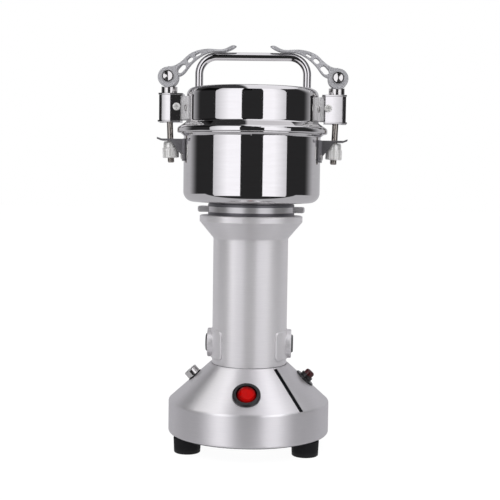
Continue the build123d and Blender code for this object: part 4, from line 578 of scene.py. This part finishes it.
for side, rod_x, lean in (("left", -CLAMP_PLACE, -ROD_LEAN), ("right", CLAMP_PLACE, ROD_LEAN)):
    mesh = bmesh.new()
    rows = []
    for i in range(STEPS_PER_TURN * THREAD_TURNS + 1):
        along = math.cos(math.tau * i / STEPS_PER_TURN)
        across = math.sin(math.tau * i / STEPS_PER_TURN)
        rise = THREAD_LOW + THREAD_PITCH * i / STEPS_PER_TURN
        rows.append([mesh.verts.new((rod_x + r * along, r * across, rise + up)) for r, up in ridge])
    for row, other in zip(rows, rows[1:]):
        for j in range(len(ridge)):
            k = (j + 1) % len(ridge)
            mesh.faces.new((row[j], other[j], other[k], row[k]))
    mesh.faces.new(rows[0])
    mesh.faces.new(rows[-1][::-1])
    bmesh.ops.recalc_face_normals(mesh, faces=mesh.faces)
    pin = Matrix.Translation((rod_x, 0.0, PIN_HEIGHT))
    leaning = pin @ Matrix.Rotation(lean, 4, "Y") @ pin.inverted()
    bmesh.ops.transform(mesh, matrix=leaning, verts=mesh.verts)
    add_piece(f"{side}_rod_thread", mesh, rod_steel, f"{side}_rod")


# Knurled nuts and the boxes' cross screws. Turned steel, the nuts rolled with a diamond knurl, nickel
# plated to a satin: pale, with a soft glint on each point of the knurl.
NICKEL_FROST = 0.8 * MM   # about a pixel of the render, too fine to show there
satin_nickel = mottled("satin_nickel_plate", NICKEL_FROST, ("#e2e1df", "#f0f0ee"), (0.26, 0.36),
                       {"Metallic": 0.45})
dress(satin_nickel, "left_knurled_nut", "right_knurled_nut", "box_screws")


# Floor. A plain sheet of white paper under the machine, wide enough to leave no edge in the picture. It
# shows white to the camera and through glass, and keeps the machine's soft shadow. It would show white in
# metal too, but there the studio of the next section stands before it.
FLOOR_HALF = 6.0
FLOOR_LIGHT = 1.08
FLOOR_SHARE = 0.88   # the share of its own white; the rest is paper in the lamps' light


def background_rays(tree):
    """One for the rays that show the background: straight from the camera, off metal or through glass."""
    path = add(tree, "ShaderNodeLightPath").outputs
    straight = add(tree, "ShaderNodeMath", {"operation": "ADD"},
                   {0: path["Is Camera Ray"], 1: path["Is Glossy Ray"]})
    return add(tree, "ShaderNodeMath", {"operation": "ADD", "use_clamp": True},
               {0: straight.outputs[0], 1: path["Is Transmission Ray"]}).outputs[0]


floor_paper, tree = new_finish("white_paper_sweep")
white = add(tree, "ShaderNodeBsdfDiffuse", {"Color": linear("#f4f4f4")})
lit = add(tree, "ShaderNodeEmission", {"Color": linear("#ffffff"), "Strength": FLOOR_LIGHT})
seen = add(tree, "ShaderNodeMath", {"operation": "MULTIPLY", 1: FLOOR_SHARE}, {0: background_rays(tree)})
blend = add(tree, "ShaderNodeMixShader", {},
            {0: seen.outputs[0], 1: white.outputs["BSDF"], 2: lit.outputs["Emission"]})
add(tree, "ShaderNodeOutputMaterial", {}, {"Surface": blend.outputs["Shader"]})
mesh = bmesh.new()
bmesh.ops.create_grid(mesh, x_segments=1, y_segments=1, size=FLOOR_HALF)
floor = set_out("floor", mesh, floor_paper)


# Studio, seen only in reflections: a pale table with a dark room in front of it, two tall white panels, a
# grey room behind, and a ceiling that is dark to the left. Angles are in degrees from the front, positive
# to the right, and lengths in metres.
PANELS = ((-40.0, 23.6), (39.8, 20.4))   # middle and half width of each panel
PANEL_FOOT = 0.42
PANEL_LIGHT = 1.3
PANEL_EDGE = 0.72
PANEL_FADE = (38.0, 64.0)                # the panels dim from light to edge between these
DARK_LIGHT = 0.028
ROOM_LIGHT = 0.55
ROOM_FADE = (98.0, 126.0)
ROOM_TOP = (0.6, 0.9)                    # the room's left side goes dark between these heights
ROOM_TOP_SHARE = 0.1
TABLE_EDGE = (0.14, 0.17)
TABLE_HEIGHT = 0.05
CEILING = 1.66
CEILING_FADE = (-0.28, -0.12)
CEILING_LIGHT = 1.05
CEILING_DARK = 0.05
WALL = ((0.03, 0.003), (0.6, 0.012), (0.95, 0.06), (1.25, 0.2), (1.35, 0.5), (1.35, 1.65), (1.3, 1.7),
        (0.01, 1.9))                     # radius and height, from the table's middle up to the ceiling's
WALL_STEPS = 120
studio_wall, tree = new_finish("studio_wall")
place = add(tree, "ShaderNodeTexCoord").outputs["Object"]
parts = add(tree, "ShaderNodeSeparateXYZ", {}, {"Vector": place}).outputs
front = add(tree, "ShaderNodeMath", {"operation": "MULTIPLY", 1: -1.0}, {0: parts["Y"]}).outputs[0]
turned = add(tree, "ShaderNodeMath", {"operation": "ARCTAN2"}, {0: parts["X"], 1: front}).outputs[0]
away = add(tree, "ShaderNodeMath", {"operation": "ABSOLUTE"}, {0: turned}).outputs[0]
total = add(tree, "ShaderNodeMapRange", {
    "interpolation_type": "SMOOTHSTEP", "From Min": math.radians(ROOM_FADE[0]),
    "From Max": math.radians(ROOM_FADE[1]), "To Min": DARK_LIGHT, "To Max": ROOM_LIGHT},
    {"Value": away}).outputs["Result"]
high = add(tree, "ShaderNodeMapRange", {
    "interpolation_type": "SMOOTHSTEP", "From Min": ROOM_TOP[0], "From Max": ROOM_TOP[1], "To Min": 1.0,
    "To Max": ROOM_TOP_SHARE}, {"Value": parts["Z"]})
right = add(tree, "ShaderNodeMath", {"operation": "GREATER_THAN", 1: 0.0}, {0: parts["X"]})
kept = add(tree, "ShaderNodeMath", {"operation": "MAXIMUM"},
           {0: high.outputs["Result"], 1: right.outputs[0]})
total = add(tree, "ShaderNodeMath", {"operation": "MULTIPLY"}, {0: total, 1: kept.outputs[0]}).outputs[0]
low = add(tree, "ShaderNodeMath", {"operation": "LESS_THAN", 1: TABLE_HEIGHT}, {0: parts["Z"]})
table = add(tree, "ShaderNodeMapRange", {
    "interpolation_type": "SMOOTHSTEP", "From Min": TABLE_EDGE[0], "From Max": TABLE_EDGE[1],
    "To Min": ROOM_LIGHT, "To Max": DARK_LIGHT}, {"Value": front})
total = add(tree, "ShaderNodeMix", {}, {0: low.outputs[0], 2: total, 3: table.outputs["Result"]}).outputs[0]
stands = add(tree, "ShaderNodeMath", {"operation": "GREATER_THAN", 1: PANEL_FOOT},
             {0: from_axis(tree, place)})
white = add(tree, "ShaderNodeMapRange", {
    "From Min": math.radians(PANEL_FADE[0]), "From Max": math.radians(PANEL_FADE[1]), "To Min": PANEL_LIGHT,
    "To Max": PANEL_EDGE}, {"Value": away})
white = add(tree, "ShaderNodeMath", {"operation": "MULTIPLY"},
            {0: white.outputs["Result"], 1: stands.outputs[0]})
for middle, half in PANELS:
    hit = add(tree, "ShaderNodeMath", {
        "operation": "COMPARE", 1: math.radians(middle), 2: math.radians(half)}, {0: turned})
    panel = add(tree, "ShaderNodeMath", {"operation": "MULTIPLY"}, {0: hit.outputs[0], 1: white.outputs[0]})
    total = add(tree, "ShaderNodeMath", {"operation": "ADD"}, {0: total, 1: panel.outputs[0]}).outputs[0]
above = add(tree, "ShaderNodeMath", {"operation": "GREATER_THAN", 1: CEILING}, {0: parts["Z"]})
overhead = add(tree, "ShaderNodeMapRange", {
    "interpolation_type": "SMOOTHSTEP", "From Min": CEILING_FADE[0], "From Max": CEILING_FADE[1],
    "To Min": CEILING_DARK, "To Max": CEILING_LIGHT}, {"Value": parts["X"]})
level = add(tree, "ShaderNodeMix", {}, {0: above.outputs[0], 2: total, 3: overhead.outputs["Result"]})
glow = add(tree, "ShaderNodeEmission", {"Color": linear("#fbfaff")}, {"Strength": level.outputs[0]})
add(tree, "ShaderNodeOutputMaterial", {}, {"Surface": glow.outputs["Emission"]})
wall = set_out("studio_wall", turned_mesh(WALL, WALL_STEPS, closed=False), studio_wall)
wall.visible_camera = False
wall.visible_diffuse = False
wall.visible_shadow = False
wall.visible_transmission = False


# Room light. An even white world. The camera and glass see it as plain white, as metal would if the studio
# didn't stand before it, and it lights the machine at half of that.
ROOM_SHARE = 0.5
world = bpy.data.worlds.new("white_room")
bpy.context.scene.world = world
world.use_nodes = True
tree = world.node_tree
tree.nodes.clear()
level = add(tree, "ShaderNodeMapRange", {"To Min": ROOM_SHARE, "To Max": 1.0},
            {"Value": background_rays(tree)})
light = add(tree, "ShaderNodeBackground", {"Color": linear("#ffffff")},
            {"Strength": level.outputs["Result"]})
add(tree, "ShaderNodeOutputWorld", {}, {"Surface": light.outputs["Background"]})


# Soft boxes. Three light everything and show in no reflection. The other six each light one piece alone,
# column or base shell, for the upright bands on column and skirt and the pale front of the cone. Each has
# its place in metres, size in metres and power in watts.
LAMP_AIM = Vector((0.0, 0.0, 0.17))
column_piece = bpy.data.collections.new("column_piece")
column_piece.objects.link(nodes["motor_column"])
base_piece = bpy.data.collections.new("base_piece")
base_piece.objects.link(nodes["base_shell"])
for name, spot, size, power, group in (
    ("left_box", (-0.85, -1.0, 1.2), 0.7, 5.0, None),
    ("right_box", (0.8, -1.0, 1.2), 0.7, 4.5, None),
    ("top_box", (0.0, -0.6, 1.3), 0.6, 5.0, None),
    ("left_column_box", (-1.12, -0.66, 0.8), 0.6, 4.3, column_piece),
    ("right_column_box", (1.18, -0.52, 0.8), 0.6, 4.6, column_piece),
    ("left_skirt_box", (-0.82, -1.02, 0.4), 0.6, 4.2, base_piece),
    ("right_skirt_box", (0.78, -1.02, 0.4), 0.6, 4.8, base_piece),
    ("left_cone_box", (-0.7, 0.27, 1.3), 0.8, 5.0, base_piece),
    ("right_cone_box", (0.7, 0.26, 1.3), 0.7, 1.9, base_piece),
):
    lamp = bpy.data.lights.new(name, "AREA")
    lamp.size = size
    lamp.energy = power
    box = bpy.data.objects.new(name, lamp)
    bpy.context.collection.objects.link(box)
    box.location = spot
    box.rotation_euler = (LAMP_AIM - box.location).to_track_quat("-Z", "Y").to_euler()
    if group:
        box.light_linking.receiver_collection = group
    else:
        box.visible_glossy = False


# Camera. At the bowl's height and a little to the right, tipped down and leaning slightly. The lens is
# given as its length in pixels of the square frame, and the angles are in radians.
LENS_PIXELS = 1117.8
FRAME_PIXELS = 500
SENSOR_WIDTH = 36.0
CAMERA_PLACE = (0.0311, -0.95, 0.2357)
PITCH = 0.0702
ROLL = 0.0141
YAW = -0.0333
view = bpy.data.cameras.new("camera")
view.sensor_fit = "HORIZONTAL"
view.sensor_width = SENSOR_WIDTH
view.lens = LENS_PIXELS * SENSOR_WIDTH / FRAME_PIXELS
camera = bpy.data.objects.new("camera", view)
bpy.context.collection.objects.link(camera)
camera.matrix_world = (
    Matrix.Translation(CAMERA_PLACE) @ Matrix.Rotation(-YAW, 4, "Z")
    @ Matrix.Rotation(math.pi / 2 - PITCH, 4, "X") @ Matrix.Rotation(ROLL, 4, "Z")
)
bpy.context.scene.camera = camera
bpy.context.scene.view_settings.view_transform = "Standard"
